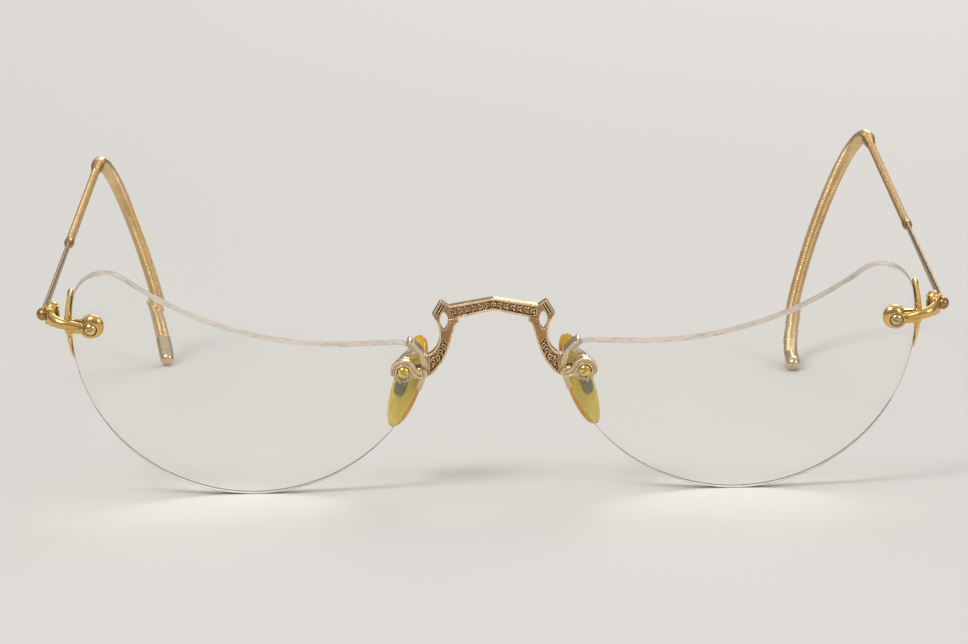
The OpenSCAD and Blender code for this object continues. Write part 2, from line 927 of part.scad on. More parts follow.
// Frame at the start of the ear bow, x away from its centre and y along the cable
module bow_frame(side) {
    temple_frame(side)
        translate([0, reach, 0])
            rotate([0, lean_of(side), 0])
                translate([0, 0, -bow_r])
                    rotate([0, -90, 0])
                        children();
}

module ear_bow(side) {
    color(gold)
        bow_frame(side)
            rotate_extrude(angle = wrap_of(side), $fn = 144)
                translate([bow_r, 0])
                    circle(bow_cable_r, $fn = 32);
}

// Straight metal cap with a round end, on the tip of the cable
module bow_cap(side) {
    color(gold)
        bow_frame(side)
            rotate(wrap_of(side))
                translate([bow_r, solder_gap, 0])
                    rotate([-90, 0, 0]) {
                        cylinder(r = cap_r, h = tail_l - solder_gap);
                        translate([0, 0, tail_l - solder_gap])
                            sphere(cap_r);
                    }
}

bridge();
nose_strap(LEFT);  // nose_strap_left
nose_strap(RIGHT);  // nose_strap_right
guard_arm(LEFT);  // guard_arm_left
guard_arm(RIGHT);  // guard_arm_right
pad_plate(LEFT);  // pad_plate_left
pad_plate(RIGHT);  // pad_plate_right
nose_pad(LEFT);  // nose_pad_left
nose_pad(RIGHT);  // nose_pad_right
lens(LEFT);  // lens_left
lens(RIGHT);  // lens_right
nose_screw(LEFT);  // nose_screw_left
nose_screw(RIGHT);  // nose_screw_right
end_screw(LEFT);  // end_screw_left
end_screw(RIGHT);  // end_screw_right
end_piece(LEFT);  // end_piece_left
end_piece(RIGHT);  // end_piece_right
hinge_screw(LEFT);  // hinge_screw_left
hinge_screw(RIGHT);  // hinge_screw_right
temple_shank(LEFT);  // temple_shank_left
temple_shank(RIGHT);  // temple_shank_right
cable_ferrule(LEFT);  // cable_ferrule_left
cable_ferrule(RIGHT);  // cable_ferrule_right
temple_cable(LEFT);  // temple_cable_left
temple_cable(RIGHT);  // temple_cable_right
ear_bow(LEFT);  // ear_bow_left
ear_bow(RIGHT);  // ear_bow_right
bow_cap(LEFT);  // bow_cap_left
bow_cap(RIGHT);  // bow_cap_right
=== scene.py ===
"""Rimless half-moon reading spectacles with an engraved arch bridge and riding-bow temples.

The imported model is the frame. This file keeps its places and sizes, and gives it the real
finish: stamped and engraved gold with beaded edges, ground and polished glass, amber pads
and wire-wound cables. Sizes in the classes are millimetres, as on a drawing, and meshes
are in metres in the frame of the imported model.
"""

import json
import logging
import math
from dataclasses import dataclass
from enum import Enum
from typing import Any, Callable, Iterable, Sequence

import bpy
import numpy as np
from mathutils import Matrix, Vector


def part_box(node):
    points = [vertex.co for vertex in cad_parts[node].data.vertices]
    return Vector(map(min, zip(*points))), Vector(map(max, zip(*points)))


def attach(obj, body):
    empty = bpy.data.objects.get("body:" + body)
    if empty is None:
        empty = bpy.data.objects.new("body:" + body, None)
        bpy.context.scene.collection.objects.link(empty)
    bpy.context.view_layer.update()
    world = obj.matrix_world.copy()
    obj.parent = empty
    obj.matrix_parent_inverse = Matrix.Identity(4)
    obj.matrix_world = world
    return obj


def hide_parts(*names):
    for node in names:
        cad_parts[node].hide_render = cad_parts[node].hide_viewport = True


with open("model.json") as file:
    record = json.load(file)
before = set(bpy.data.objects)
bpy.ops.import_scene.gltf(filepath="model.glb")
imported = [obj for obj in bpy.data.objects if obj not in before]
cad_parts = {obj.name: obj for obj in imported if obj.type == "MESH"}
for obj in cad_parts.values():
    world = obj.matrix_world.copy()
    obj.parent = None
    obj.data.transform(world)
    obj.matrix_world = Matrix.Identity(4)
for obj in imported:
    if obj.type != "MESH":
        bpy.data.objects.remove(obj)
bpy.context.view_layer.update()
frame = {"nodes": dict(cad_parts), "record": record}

Colour = tuple[float, float, float, float]
Point = tuple[float, float]
Point3 = tuple[float, float, float]
Array = np.ndarray
Piece = bpy.types.Object
Socket = bpy.types.NodeSocket

LOG = logging.getLogger("spectacles")
MILLIMETRE = 0.001


class Side(Enum):
    """Left and right, as seen from the front."""

    LEFT = -1
    RIGHT = 1

    @property
    def word(self) -> str:
        """The word that ends the names of this side's pieces."""
        return self.name.lower()


class Slot(Enum):
    """The material slots of the record."""

    YELLOW = "yellow_gold"
    PALE = "pale_gold"
    ROSE = "rose_gold"
    GLASS = "glass"
    AMBER = "amber"


def colour(red: int, stain_and_shadow_share: int, blue: int) -> Colour:
    """Turn a colour as a screen shows it into a linear one.

    Args:
        red: Red, from 0 to 255.
        stain_and_shadow_share: Green, from 0 to 255.
        blue: Blue, from 0 to 255.

    Returns:
        The linear colour, with an alpha of one.
    """
    def linear(level: int) -> float:
        """One channel, as a linear share."""
        share = level / 255
        return share / 12.92 if share <= 0.04045 else ((share + 0.055) / 1.055) ** 2.4

    return (linear(red), linear(stain_and_shadow_share), linear(blue), 1.0)


class Value:
    """A number in a node tree, on which Python's operators add Math nodes."""

    def __init__(self, graph: "Graph", socket: Socket) -> None:
        """Wrap one output socket of a graph."""
        self.graph = graph
        self.socket = socket

    def __add__(self, other: Any) -> "Value":
        """This value plus another."""
        return self.graph.math("ADD", self, other)

    def __sub__(self, other: Any) -> "Value":
        """This value less another."""
        return self.graph.math("SUBTRACT", self, other)

    def __rsub__(self, other: Any) -> "Value":
        """Another value less this one."""
        return self.graph.math("SUBTRACT", other, self)

    def __mul__(self, other: Any) -> "Value":
        """This value times another."""
        return self.graph.math("MULTIPLY", self, other)

    def __truediv__(self, other: Any) -> "Value":
        """This value over another."""
        return self.graph.math("DIVIDE", self, other)

    __radd__ = __add__
    __rmul__ = __mul__

    def clamped(self) -> "Value":
        """This value, held between zero and one."""
        return self.graph.math("ADD", self, 0.0, use_clamp=True)

    def over(self, low: float, high: float) -> "Value":
        """How far this value is from low to high, held between zero and one.

        Args:
            low: The value that gives zero.
            high: The value that gives one.

        Returns:
            The share, which falls as this value grows if low is above high.
        """
        return ((self - low) / (high - low)).clamped()


class Graph:
    """A node tree that is written as expressions."""

    def __init__(self, tree: bpy.types.NodeTree) -> None:
        """Empty a tree and write in it."""
        self.tree = tree
        tree.nodes.clear()

    def link(self, socket: Socket, value: Any) -> None:
        """Give an input socket a link or a plain value.

        Args:
            socket: The input.
            value: A Value, an output socket, a number, a colour or a vector.
        """
        if isinstance(value, Value):
            value = value.socket
        if isinstance(value, Socket):
            self.tree.links.new(value, socket)
        else:
            socket.default_value = value

    def node(self, kind: str, settings: dict[str, Any] | None = None,
             inputs: dict[Any, Any] | None = None) -> bpy.types.Node:
        """Add a node.

        Args:
            kind: The node's type.
            settings: Its own settings, which are set first.
            inputs: Values or links for its sockets, by name or number.

        Returns:
            The node.
        """
        made = self.tree.nodes.new(kind)
        for name, value in (settings or {}).items():
            setattr(made, name, value)
        for name, value in (inputs or {}).items():
            self.link(made.inputs[name], value)
        return made

    def math(self, operation: str, first: Any, second: Any, use_clamp: bool = False) -> Value:
        """Add a Math node on two values and return its result."""
        made = self.node("ShaderNodeMath", {"operation": operation, "use_clamp": use_clamp},
                         {0: first, 1: second})
        return Value(self, made.outputs[0])

    def millimetres(self) -> Socket:
        """The place on the object, in millimetres."""
        place = self.node("ShaderNodeTexCoord").outputs["Object"]
        made = self.node("ShaderNodeVectorMath", {"operation": "SCALE"},
                         {0: place, "Scale": 1 / MILLIMETRE})
        return made.outputs[0]

    def noise(self, place: Socket, per_mm: float, detail: float) -> Value:
        """Cloudy noise.

        Args:
            place: The coordinates, in millimetres.
            per_mm: How many clouds lie in a millimetre.
            detail: How many finer layers it has.

        Returns:
            The noise, mostly between 0.3 and 0.7.
        """
        made = self.node("ShaderNodeTexNoise", None,
                         {"Vector": place, "Scale": per_mm, "Detail": detail})
        return Value(self, made.outputs[0])

    def attribute(self, name: str) -> Value:
        """A number that the mesh stores for each vertex."""
        made = self.node("ShaderNodeAttribute", {"attribute_name": name})
        return Value(self, made.outputs["Fac"])

    def near(self, place: Socket, centre: Sequence[float], reach: float) -> Value:
        """A soft round mask: one at a centre, in millimetres, and zero at a distance from it."""
        made = self.node("ShaderNodeVectorMath", {"operation": "DISTANCE"},
                         {0: place, 1: tuple(centre)})
        return Value(self, made.outputs["Value"]).over(reach, 0.0)

    def mixed(self, share: Any, first: Any, second: Any) -> Socket:
        """A colour between two, by a share from zero to one."""
        made = self.node("ShaderNodeMix", {"data_type": "RGBA"}, {0: share, 6: first, 7: second})
        return made.outputs[2]

    def bump(self, height: Value, depth_mm: float) -> Socket:
        """A normal from a height between zero and one, and the depth that it stands for."""
        made = self.node("ShaderNodeBump", None,
                         {"Height": height, "Strength": 1.0, "Distance": depth_mm * MILLIMETRE})
        return made.outputs[0]

    def surface(self, shader: bpy.types.Node) -> None:
        """Send a shader to the output."""
        self.node("ShaderNodeOutputMaterial", None, {"Surface": shader.outputs[0]})


class Finish:
    """A material that is made once and then shared."""

    made: dict[str, bpy.types.Material] = {}

    def material(self) -> bpy.types.Material:
        """The material, made on the first call."""
        if self.name not in Finish.made:
            found = bpy.data.materials.new(self.name)
            found.use_nodes = True
            self.draw(Graph(found.node_tree))
            Finish.made[self.name] = found
        return Finish.made[self.name]


@dataclass(frozen=True)
class GoldFinish(Finish):
    """Rolled gold: bright on raised edges, as rubbed wear and partly painted highlight, dull on the flats,
    and dark in the hollows, as patina and partly painted shade.
    """

    name: str
    bright: Colour
    body: Colour
    patina: Colour
    roughness: float = 0.2
    wear: float = 1.0
    stains: tuple[tuple[float, float, float, float], ...] = ()
    stain: Colour = colour(92, 112, 84)

    def draw(self, graph: Graph) -> None:
        """Draw the nodes.

        Args:
            graph: The empty tree.
        """
        place = graph.millimetres()
        clouds = graph.noise(place, 0.55, 4.0)
        pits = graph.noise(place, 5.0, 5.0)
        grain = graph.noise(place, 22.0, 2.0)
        relief = graph.attribute("relief")
        # Raised edges take the bright colour, partly painted highlight and partly rubbed wear; hollows take
        # the dark colour, partly painted shade and partly patina.
        edges = relief.over(0.004, 0.045) * self.wear
        hollows = relief.over(-0.004, -0.05) * self.wear
        dull = (clouds.over(0.42, 0.72) * 0.45 + pits.over(0.52, 0.75) * 0.35).clamped()
        tarnish_and_shade = (hollows + dull * 0.55).clamped()
        tone = graph.mixed(tarnish_and_shade, self.body, self.patina)
        tone = graph.mixed((edges * (1.0 - dull * 0.6)).clamped(), tone, self.bright)
        rough = self.roughness + dull * 0.16 + hollows * 0.22 + grain.over(0.4, 0.7) * 0.05
        metal: Any = 1.0
        # Each spot mixes in its colour: green stains on some finishes, and on the pale gold a painted
        # shadow below the nose screw.
        for x, y, z, reach in self.stains:
            stain_and_shadow_share = (graph.near(place, (x, y, z), reach) * pits.over(0.38, 0.60)).clamped()
            tone = graph.mixed(stain_and_shadow_share, tone, self.stain)
            rough = rough + stain_and_shadow_share * 0.35
            metal = metal - stain_and_shadow_share * 0.8
        height = grain * 0.35 + pits * 0.65
        shader = graph.node("ShaderNodeBsdfPrincipled", None, {
            "Base Color": tone, "Metallic": metal, "Roughness": rough.clamped(),
            "Normal": graph.bump(height, 0.012)})
        graph.surface(shader)


@dataclass(frozen=True)
class ClearGlass(Finish):
    """Polished glass with a few dust specks and a faint smear."""

    name: str = "lens_glass"
    tint: Colour = (0.975, 0.985, 0.975, 1.0)
    dust: Colour = (1.0, 0.99, 0.97, 1.0)

    def draw(self, graph: Graph) -> None:
        """Draw the nodes, with a way through for the rays of the lamps.

        Args:
            graph: The empty tree.
        """
        place = graph.millimetres()
        patches = graph.noise(place, 0.12, 2.0).over(0.42, 0.62)
        specks = (graph.noise(place, 2.6, 1.0).over(0.72, 0.75) * patches).clamped()
        smear = graph.noise(place, 0.35, 3.0).over(0.45, 0.8)
        glass = graph.node("ShaderNodeBsdfPrincipled", None, {
            "Base Color": graph.mixed(specks, self.tint, self.dust),
            "Roughness": specks * 0.3 + smear * 0.02,
            "IOR": 1.523, "Transmission Weight": 1.0})
        through = graph.node("ShaderNodeBsdfTransparent", None, {"Color": (0.93, 0.95, 0.93, 1.0)})
        path = graph.node("ShaderNodeLightPath")
        both = graph.node("ShaderNodeMixShader", None, {
            0: path.outputs["Is Shadow Ray"], 1: glass.outputs[0], 2: through.outputs[0]})
        graph.surface(both)


@dataclass(frozen=True)
class GroundGlass(Finish):
    """The frosted ground edge of the glass, which carries a little grey-beige dirt."""

    name: str = "lens_ground_edge"
    pale: Colour = colour(206, 192, 176)
    dirt: Colour = colour(150, 134, 116)

    def draw(self, graph: Graph) -> None:
        """Draw the nodes.

        Args:
            graph: The empty tree.
        """
        place = graph.millimetres()
        grain = graph.noise(place, 14.0, 3.0)
        clouds = graph.noise(place, 0.8, 4.0)
        share = (clouds.over(0.45, 0.75) * 0.6 + grain.over(0.5, 0.8) * 0.3).clamped()
        shader = graph.node("ShaderNodeBsdfPrincipled", None, {
            "Base Color": graph.mixed(share, self.pale, self.dirt),
            "Roughness": 0.42 + grain * 0.3,
            "IOR": 1.523, "Normal": graph.bump(grain, 0.02)})
        graph.surface(shader)


@dataclass(frozen=True)
class Celluloid(Finish):
    """Amber celluloid: cloudy and translucent, warmer round the rim."""

    name: str = "pad_celluloid"
    heart: Colour = colour(250, 220, 52)
    cloud: Colour = colour(230, 202, 66)
    rim: Colour = colour(222, 150, 40)

    def draw(self, graph: Graph) -> None:
        """Draw the nodes, on the attribute that says how near the rim a point lies.

        Args:
            graph: The empty tree.
        """
        place = graph.millimetres()
        rim = graph.attribute("rim")
        clouds = graph.noise(place, 0.38, 3.0)
        fine = graph.noise(place, 3.0, 4.0)
        tone = graph.mixed(clouds.over(0.4, 0.68), self.heart, self.cloud)
        tone = graph.mixed((rim.over(0.86, 1.0) * (0.5 + clouds * 0.6)).clamped(), tone, self.rim)
        shader = graph.node("ShaderNodeBsdfPrincipled", None, {
            "Base Color": tone, "Roughness": 0.20 + fine * 0.18,
            "IOR": 1.50, "Transmission Weight": 0.12,
            "Subsurface Weight": 0.3, "Subsurface Radius": (1.0, 0.7, 0.2),
            "Subsurface Scale": 1.2 * MILLIMETRE, "Coat Weight": 0.25,
            "Normal": graph.bump(fine, 0.01)})
        graph.surface(shader)


def deselect_all() -> None:
    """Deselect every object."""
    bpy.ops.object.select_all(action="DESELECT")


def activate(*objects: Piece) -> None:
    """Select only these objects, the first of them active."""
    deselect_all()
    for obj in objects:
        obj.select_set(True)
    bpy.context.view_layer.objects.active = objects[0]


def modify(obj: Piece, kind: str, **settings: Any) -> None:
    """Add a modifier, set it and apply it.

    Args:
        obj: The object.
        kind: The modifier's type.
        **settings: Its settings.
    """
    activate(obj)
    bpy.ops.object.modifier_add(type=kind)
    last = obj.modifiers[-1]
    for name, value in settings.items():
        setattr(last, name, value)
    bpy.ops.object.modifier_apply(modifier=last.name)


def edit(obj: Piece, *steps: Callable[[], Any]) -> None:
    """Run operators in edit mode with everything selected.

    Args:
        obj: The object.
        *steps: Calls that take nothing.
    """
    activate(obj)
    bpy.ops.object.mode_set(mode="EDIT")
    bpy.ops.mesh.select_all(action="SELECT")
    for step in steps:
        step()
    bpy.ops.object.mode_set(mode="OBJECT")


def added(name: str) -> Piece:
    """Name the primitive that an operator has just added."""
    obj = bpy.context.object
    obj.name = obj.data.name = name
    return obj


def primitive(name: str, kind: str, **settings: Any) -> Piece:
    """Add a primitive mesh.

    Args:
        name: The name of the result.
        kind: The middle of the operator's name, such as cube.
        **settings: The operator's settings.

    Returns:
        The new object, at the origin, with its place in its mesh.
    """
    deselect_all()
    getattr(bpy.ops.mesh, f"primitive_{kind}_add")(**settings)
    obj = added(name)
    obj.data.transform(obj.matrix_basis)
    obj.matrix_basis = Matrix.Identity(4)
    return obj


def box(name: str, size: Point3, centre: Point3 = (0, 0, 0)) -> Piece:
    """Add a box.

    Args:
        name: The name of the result.
        size: Its size along each axis.
        centre: Its middle.

    Returns:
        The box.
    """
    obj = primitive(name, "cube", size=1)
    obj.data.transform(moved(*centre) @ scaled(*size))
    return obj


def face_outwards() -> None:
    """Turn the selected faces outwards, in edit mode."""
    bpy.ops.mesh.normals_make_consistent(inside=False)


def shade(obj: Piece, degrees: float | None = None) -> None:
    """Shade an object smooth.

    Args:
        obj: The object.
        degrees: Edges that turn further than this stay sharp, or none do.
    """
    activate(obj)
    if degrees is None:
        bpy.ops.object.shade_smooth()
    else:
        bpy.ops.object.shade_smooth_by_angle(angle=math.radians(degrees))


def joined(objects: Sequence[Piece], name: str) -> Piece:
    """Join objects into one.

    Args:
        objects: What is joined.
        name: The name of the result.

    Returns:
        The joined object.
    """
    activate(*objects)
    if len(objects) > 1:
        bpy.ops.object.join()
    return added(name)


def vertices(obj: Piece) -> Array:
    """The places of a mesh's vertices, one row each."""
    flat = np.empty(len(obj.data.vertices) * 3)
    obj.data.vertices.foreach_get("co", flat)
    return flat.reshape(-1, 3)


def set_vertices(obj: Piece, places: Array) -> None:
    """Move a mesh's vertices to these places."""
    obj.data.vertices.foreach_set("co", places.ravel())
    obj.data.update()


def mark_relief(obj: Piece, rounds: int) -> None:
    """Store how far each vertex stands out from the smoothed surface, in millimetres.

    Args:
        obj: A finely divided piece, with its faces outwards.
        rounds: How often the surface is smoothed to find its general form.
    """
    mesh = obj.data
    places = vertices(obj)
    ends = np.empty(len(mesh.edges) * 2, dtype=np.int32)
    mesh.edges.foreach_get("vertices", ends)
    first, second = ends[0::2], ends[1::2]
    count = np.bincount(ends, minlength=len(places)).clip(1)
    smooth = places.copy()
    for _ in range(rounds):
        for axis in range(3):
            total = np.bincount(first, smooth[second, axis], len(places))
            total += np.bincount(second, smooth[first, axis], len(places))
            smooth[:, axis] = (smooth[:, axis] + total / count) / 2
    normals = np.empty(len(places) * 3)
    mesh.vertex_normals.foreach_get("vector", normals)
    relief = ((places - smooth) * normals.reshape(-1, 3)).sum(1) / MILLIMETRE
    store(obj, "relief", relief)


def store(obj: Piece, name: str, values: Array) -> None:
    """Store one number for each vertex under a name that a finish reads."""
    attribute = obj.data.attributes.new(name, "FLOAT", "POINT")
    attribute.data.foreach_set("value", values.astype(np.float32))


def settle(obj: Piece, matrix: Matrix) -> Piece:
    """Put a piece in its place, in its mesh, with its faces outwards.

    Args:
        obj: A closed piece, in millimetres in a frame of its own.
        matrix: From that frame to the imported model's.

    Returns:
        The same object, at the origin.
    """
    obj.data.transform(matrix)
    edit(obj, face_outwards)
    return obj


def copies(template: Piece, places: Iterable[Matrix], name: str) -> Piece:
    """Copy a template to each place and join the copies.

    Args:
        template: What is copied. It is removed.
        places: A matrix for each copy.
        name: The name of the result.

    Returns:
        All the copies as one object.
    """
    made = []
    for place in places:
        copy = bpy.data.objects.new(name, template.data.copy())
        copy.data.transform(place)
        bpy.context.collection.objects.link(copy)
        made.append(copy)
    bpy.data.objects.remove(template)
    return joined(made, name)


def cad_copy(node: str, name: str) -> Piece:
    """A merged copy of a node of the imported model.

    Args:
        node: The node's name.
        name: The copy's name.

    Returns:
        The copy, in the same place.
    """
    mesh = frame["nodes"][node].data.copy()
    mesh.materials.clear()
    obj = bpy.data.objects.new(name, mesh)
    bpy.context.collection.objects.link(obj)
    activate(obj)
    bpy.ops.mesh.customdata_custom_splitnormals_clear()
    edit(obj, lambda: bpy.ops.mesh.remove_doubles(threshold=1e-7))
    return obj


def finished(obj: Piece, finishes: Sequence[Finish], body: str, node: str) -> None:
    """Dress a piece, put it on its body and let it stand for its node.

    Args:
        obj: The piece.
        finishes: Its finishes, in the order of its material slots.
        body: The body that it rides on.
        node: The node that it replaces.
    """
    obj.data.materials.clear()
    for finish in finishes:
        obj.data.materials.append(finish.material())
    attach(obj, body)
    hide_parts(node)
    places = vertices(obj)
    low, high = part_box(node)
    drift = max(*np.abs(places.min(0) - low), *np.abs(places.max(0) - high))
    LOG.info("%s: %d faces, at most %.2f mm from its node", obj.name, len(obj.data.polygons),
             drift / MILLIMETRE)


def turned(axis: str, degrees: float) -> Matrix:
    """A turn about an axis."""
    return Matrix.Rotation(math.radians(degrees), 4, axis)


def moved(x: float, y: float, z: float) -> Matrix:
    """A move."""
    return Matrix.Translation((x, y, z))


def scaled(x: float, y: float, z: float) -> Matrix:
    """A change of size along each axis."""
    return Matrix.Diagonal((x, y, z, 1))


def mirrored(side: Side) -> Matrix:
    """A mirror image in X for the left side, or nothing for the right."""
    return scaled(side.value, 1, 1)


def swept(name: str, centres: Array, across: Array, upward: Array,
          sides: int) -> Piece:
    """Extrude a disc ring by ring and set each ring square to a path.

    Args:
        name: The name of the result.
        centres: The middle of each ring, one row each.
        across: Half the width of each ring, as a vector.
        upward: Half the height of each ring, as a vector.
        sides: The sides of a ring.

    Returns:
        The closed bar.
    """
    obj = primitive(name, "circle", vertices=sides, radius=1, fill_type="NGON",
                    rotation=(math.pi / 2, 0, 0))
    step = {"value": (0, 1, 0)}
    grow = [lambda: bpy.ops.mesh.extrude_region_move(TRANSFORM_OT_translate=step)]
    edit(obj, *grow * (len(centres) - 1))
    places = vertices(obj)
    ring = np.rint(places[:, 1]).astype(int)
    set_vertices(obj, centres[ring] + places[:, :1] * across[ring] + places[:, 2:] * upward[ring])
    return obj


def bar(name: str, path: Array, up: Sequence[float], widths: Array, heights: Array,
        sides: int) -> Piece:
    """A bar along a path, with a width and a height at each point.

    Args:
        name: The name of the result.
        path: The points, one row each.
        up: The direction that heights are measured in.
        widths: Half the width at each point.
        heights: Half the height at each point.
        sides: The sides of the bar.

    Returns:
        The closed bar.
    """
    along = np.gradient(path, axis=0)
    across = np.cross(along, up)
    across /= np.linalg.norm(across, axis=1)[:, None]
    upward = np.cross(across, along)
    upward /= np.linalg.norm(upward, axis=1)[:, None]
    return swept(name, path, across * widths[:, None], upward * heights[:, None], sides)


def lump(name: str, centre: Sequence[float], radii: Sequence[float],
         floor: float = -math.inf) -> Piece:
    """An egg of metal, cut off flat at a floor.

    Args:
        name: The name of the result.
        centre: Its middle.
        radii: Half its size along each axis.
        floor: The height below which it is flattened.

    Returns:
        The egg.
    """
    obj = primitive(name, "uv_sphere", segments=32, ring_count=20, radius=1)
    places = vertices(obj) * radii + centre
    places[:, 2] = np.maximum(places[:, 2], floor)
    set_vertices(obj, places)
    return obj


def cut(obj: Piece, tool: Piece) -> None:
    """Cut a tool's shape out of an object, and remove the tool."""
    modify(obj, "BOOLEAN", operation="DIFFERENCE", object=tool, solver="EXACT")
    bpy.data.objects.remove(tool)


def cubic(a: Sequence[float], b: Sequence[float], c: Sequence[float], d: Sequence[float],
          count: int) -> Array:
    """Points along a cubic curve.

    Args:
        a: Its start.
        b: The point that it leaves towards.
        c: The point that it arrives from.
        d: Its end.
        count: The number of steps.

    Returns:
        The points, one row each.
    """
    t = np.linspace(0, 1, count + 1)[:, None]
    s = 1 - t
    a, b, c, d = (np.array(point, dtype=float) for point in (a, b, c, d))
    return s**3 * a + 3 * s * s * t * b + 3 * s * t * t * c + t**3 * d


def arc(centre: Point, radius: float, start: float, end: float, count: int) -> Array:
    """Points along an arc, its two angles in degrees."""
    angle = np.radians(np.linspace(start, end, count + 1))
    return np.array(centre) + radius * np.stack([np.cos(angle), np.sin(angle)], 1)


def beside(points: Array, width: float) -> Array:
    """A line moved sideways, to the left of the way it runs."""
    along = np.gradient(points, axis=0)
    along /= np.linalg.norm(along, axis=1)[:, None]
    return points + width * np.stack([-along[:, 1], along[:, 0]], 1)


def walked(points: Array, step: float) -> list[tuple[float, float, float]]:
    """Even places along a line.

    Args:
        points: The line.
        step: The distance from one place to the next, about.

    Returns:
        For each place its two coordinates and the line's direction in degrees.
    """
    legs = np.linalg.norm(np.diff(points, axis=0), axis=1)
    reach = np.concatenate([[0], np.cumsum(legs)])
    count = max(2, round(reach[-1] / step))
    at = (np.arange(count) + 0.5) * reach[-1] / count
    x = np.interp(at, reach, points[:, 0])
    y = np.interp(at, reach, points[:, 1])
    leg = np.clip(np.searchsorted(reach, at) - 1, 0, len(legs) - 1)
    way = np.diff(points, axis=0)[leg]
    return [(float(a), float(b), math.degrees(math.atan2(w[1], w[0]))) for a, b, w in zip(x, y, way)]


@dataclass(frozen=True)
class Stance:
    """How the spectacles stand: the hinge line, the tilt of the frame and the lean of the front."""

    stand_tilt: float = 5.0
    lens_lean: float = 4.0
    hinge_back: float = 2.6

    def hinge(self, side: Side) -> Vector:
        """The middle of a hinge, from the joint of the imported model, in millimetres."""
        joints = {joint["name"]: joint for joint in frame["record"]["behaviour"]["joints"]}
        return Vector(joints[f"temple_fold_{side.word}"]["pos_m"]) / MILLIMETRE

    def stand(self) -> Matrix:
        """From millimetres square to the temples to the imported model."""
        middle = self.hinge(Side.RIGHT)
        return (Matrix.Scale(MILLIMETRE, 4) @ moved(0, middle.y, middle.z)
                @ turned("X", self.stand_tilt))

    def front(self, side: Side) -> Matrix:
        """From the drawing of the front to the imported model."""
        return (self.stand() @ turned("X", self.lens_lean) @ turned("X", 90)
                @ moved(0, 0, self.hinge_back) @ mirrored(side))

    def hinge_frame(self, side: Side) -> Matrix:
        """From a frame on a hinge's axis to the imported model."""
        return self.stand() @ mirrored(side) @ moved(self.hinge(Side.RIGHT).x, 0, 0)


@dataclass(frozen=True)
class LensForm:
    """The half-moon glass: outline, curves, screw places and the bevels on its edge."""

    radius: float = 23.2
    pitch: float = 62.7
    drop: float = 0.96
    front_curve: float = 165.0
    edge: float = 1.9945
    back_curve: float = 190.0
    brow_drop: float = 2.7
    brow_radius: float = 50.0
    brow_start: float = 12.5
    lobe_radius: float = 4.3
    corner_radius: float = 3.5
    screw_inset: float = 2.55
    end_angle: float = 0.2
    nose_angle: float = 18.2
    hole_radius: float = 0.58
    bevel: float = 0.2

    @property
    def corner(self) -> Array:
        """The middle of the nose corner's arc, from the middle of the lens."""
        y = -self.brow_drop - self.corner_radius
        return np.array([-math.sqrt((self.radius - self.corner_radius) ** 2 - y * y), y])

    @property
    def lobe(self) -> Array:
        """The middle of the arc of the lobe on the temple side."""
        brow = self.brow
        away = float(np.linalg.norm(brow))
        reach = self.radius - self.lobe_radius
        along = (reach**2 - (self.brow_radius + self.lobe_radius) ** 2 + away**2) / (2 * away)
        across = math.sqrt(reach**2 - along**2)
        return (along * brow + across * np.array([brow[1], -brow[0]])) / away

    @property
    def brow(self) -> Array:
        """The middle of the arc of the hollow top edge."""
        return np.array([-self.brow_start, self.brow_radius - self.brow_drop])

    def outline(self) -> Array:
        """The outline of the glass, once round."""
        lobe, corner, brow = self.lobe, self.corner, self.brow
        lobe_angle = math.degrees(math.atan2(lobe[1], lobe[0]))
        corner_angle = math.degrees(math.atan2(corner[1], corner[0]))
        brow_angle = math.degrees(math.atan2(lobe[1] - brow[1], lobe[0] - brow[0]))
        arcs = [
            arc((0, 0), self.radius, lobe_angle, corner_angle, 150),
            arc(tuple(corner), self.corner_radius, corner_angle, -270, 28),
            arc(tuple(brow), self.brow_radius, -90, brow_angle, 60),
            arc(tuple(lobe), self.lobe_radius, brow_angle + 180, lobe_angle, 34),
        ]
        return np.concatenate([part[:-1] for part in arcs])

    def front(self, away: Array | float) -> Array | float:
        """Height of the front surface at a distance from the middle."""
        rise = self.front_curve - math.sqrt(self.front_curve**2 - self.radius**2)
        return rise - self.front_curve + np.sqrt(self.front_curve**2 - np.square(away))

    def back(self, away: Array | float) -> Array | float:
        """Height of the back surface at a distance from the middle."""
        rise = self.back_curve - math.sqrt(self.back_curve**2 - self.radius**2)
        return rise - self.edge - self.back_curve + np.sqrt(self.back_curve**2 - np.square(away))

    def screws(self) -> dict[str, tuple[float, float]]:
        """The places of the two screws, from the middle of the lens."""
        reach = self.radius - self.screw_inset
        return {
            "end": (reach * math.cos(math.radians(self.end_angle)),
                    -reach * math.sin(math.radians(self.end_angle))),
            "nose": (-reach * math.cos(math.radians(self.nose_angle)),
                     -reach * math.sin(math.radians(self.nose_angle))),
        }


STANCE = Stance()
LENS = LensForm()


def glass_frame(side: Side) -> Matrix:
    """From the drawing of a lens, x away from the nose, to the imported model."""
    return STANCE.front(side) @ moved(LENS.pitch / 2, -LENS.drop, 0)


def spots(x: float, y: float, z: float, reach: float) -> tuple[tuple[float, float, float, float], ...]:
    """The same spot on both sides, from a place in the drawing of a lens."""
    places = [glass_frame(side) @ Vector((x, y, z)) / MILLIMETRE for side in Side]
    return tuple((*place, reach) for place in places)


NOSE_SCREW = (*LENS.screws()["nose"], 0.7)

# Each finish gives a bright colour for raised edges, partly painted highlight, a body colour, and a dark
# colour for hollows, partly painted shade.
YELLOW_GOLD = GoldFinish("gold_yellow", colour(255, 236, 178), colour(235, 190, 110), colour(102, 66, 28),
                         0.16, stains=spots(22.4, 0.75, 0.3, 0.9))
BRIGHT_GOLD = GoldFinish("gold_bright", colour(255, 244, 186), colour(242, 212, 120), colour(104, 74, 28),
                         0.15)
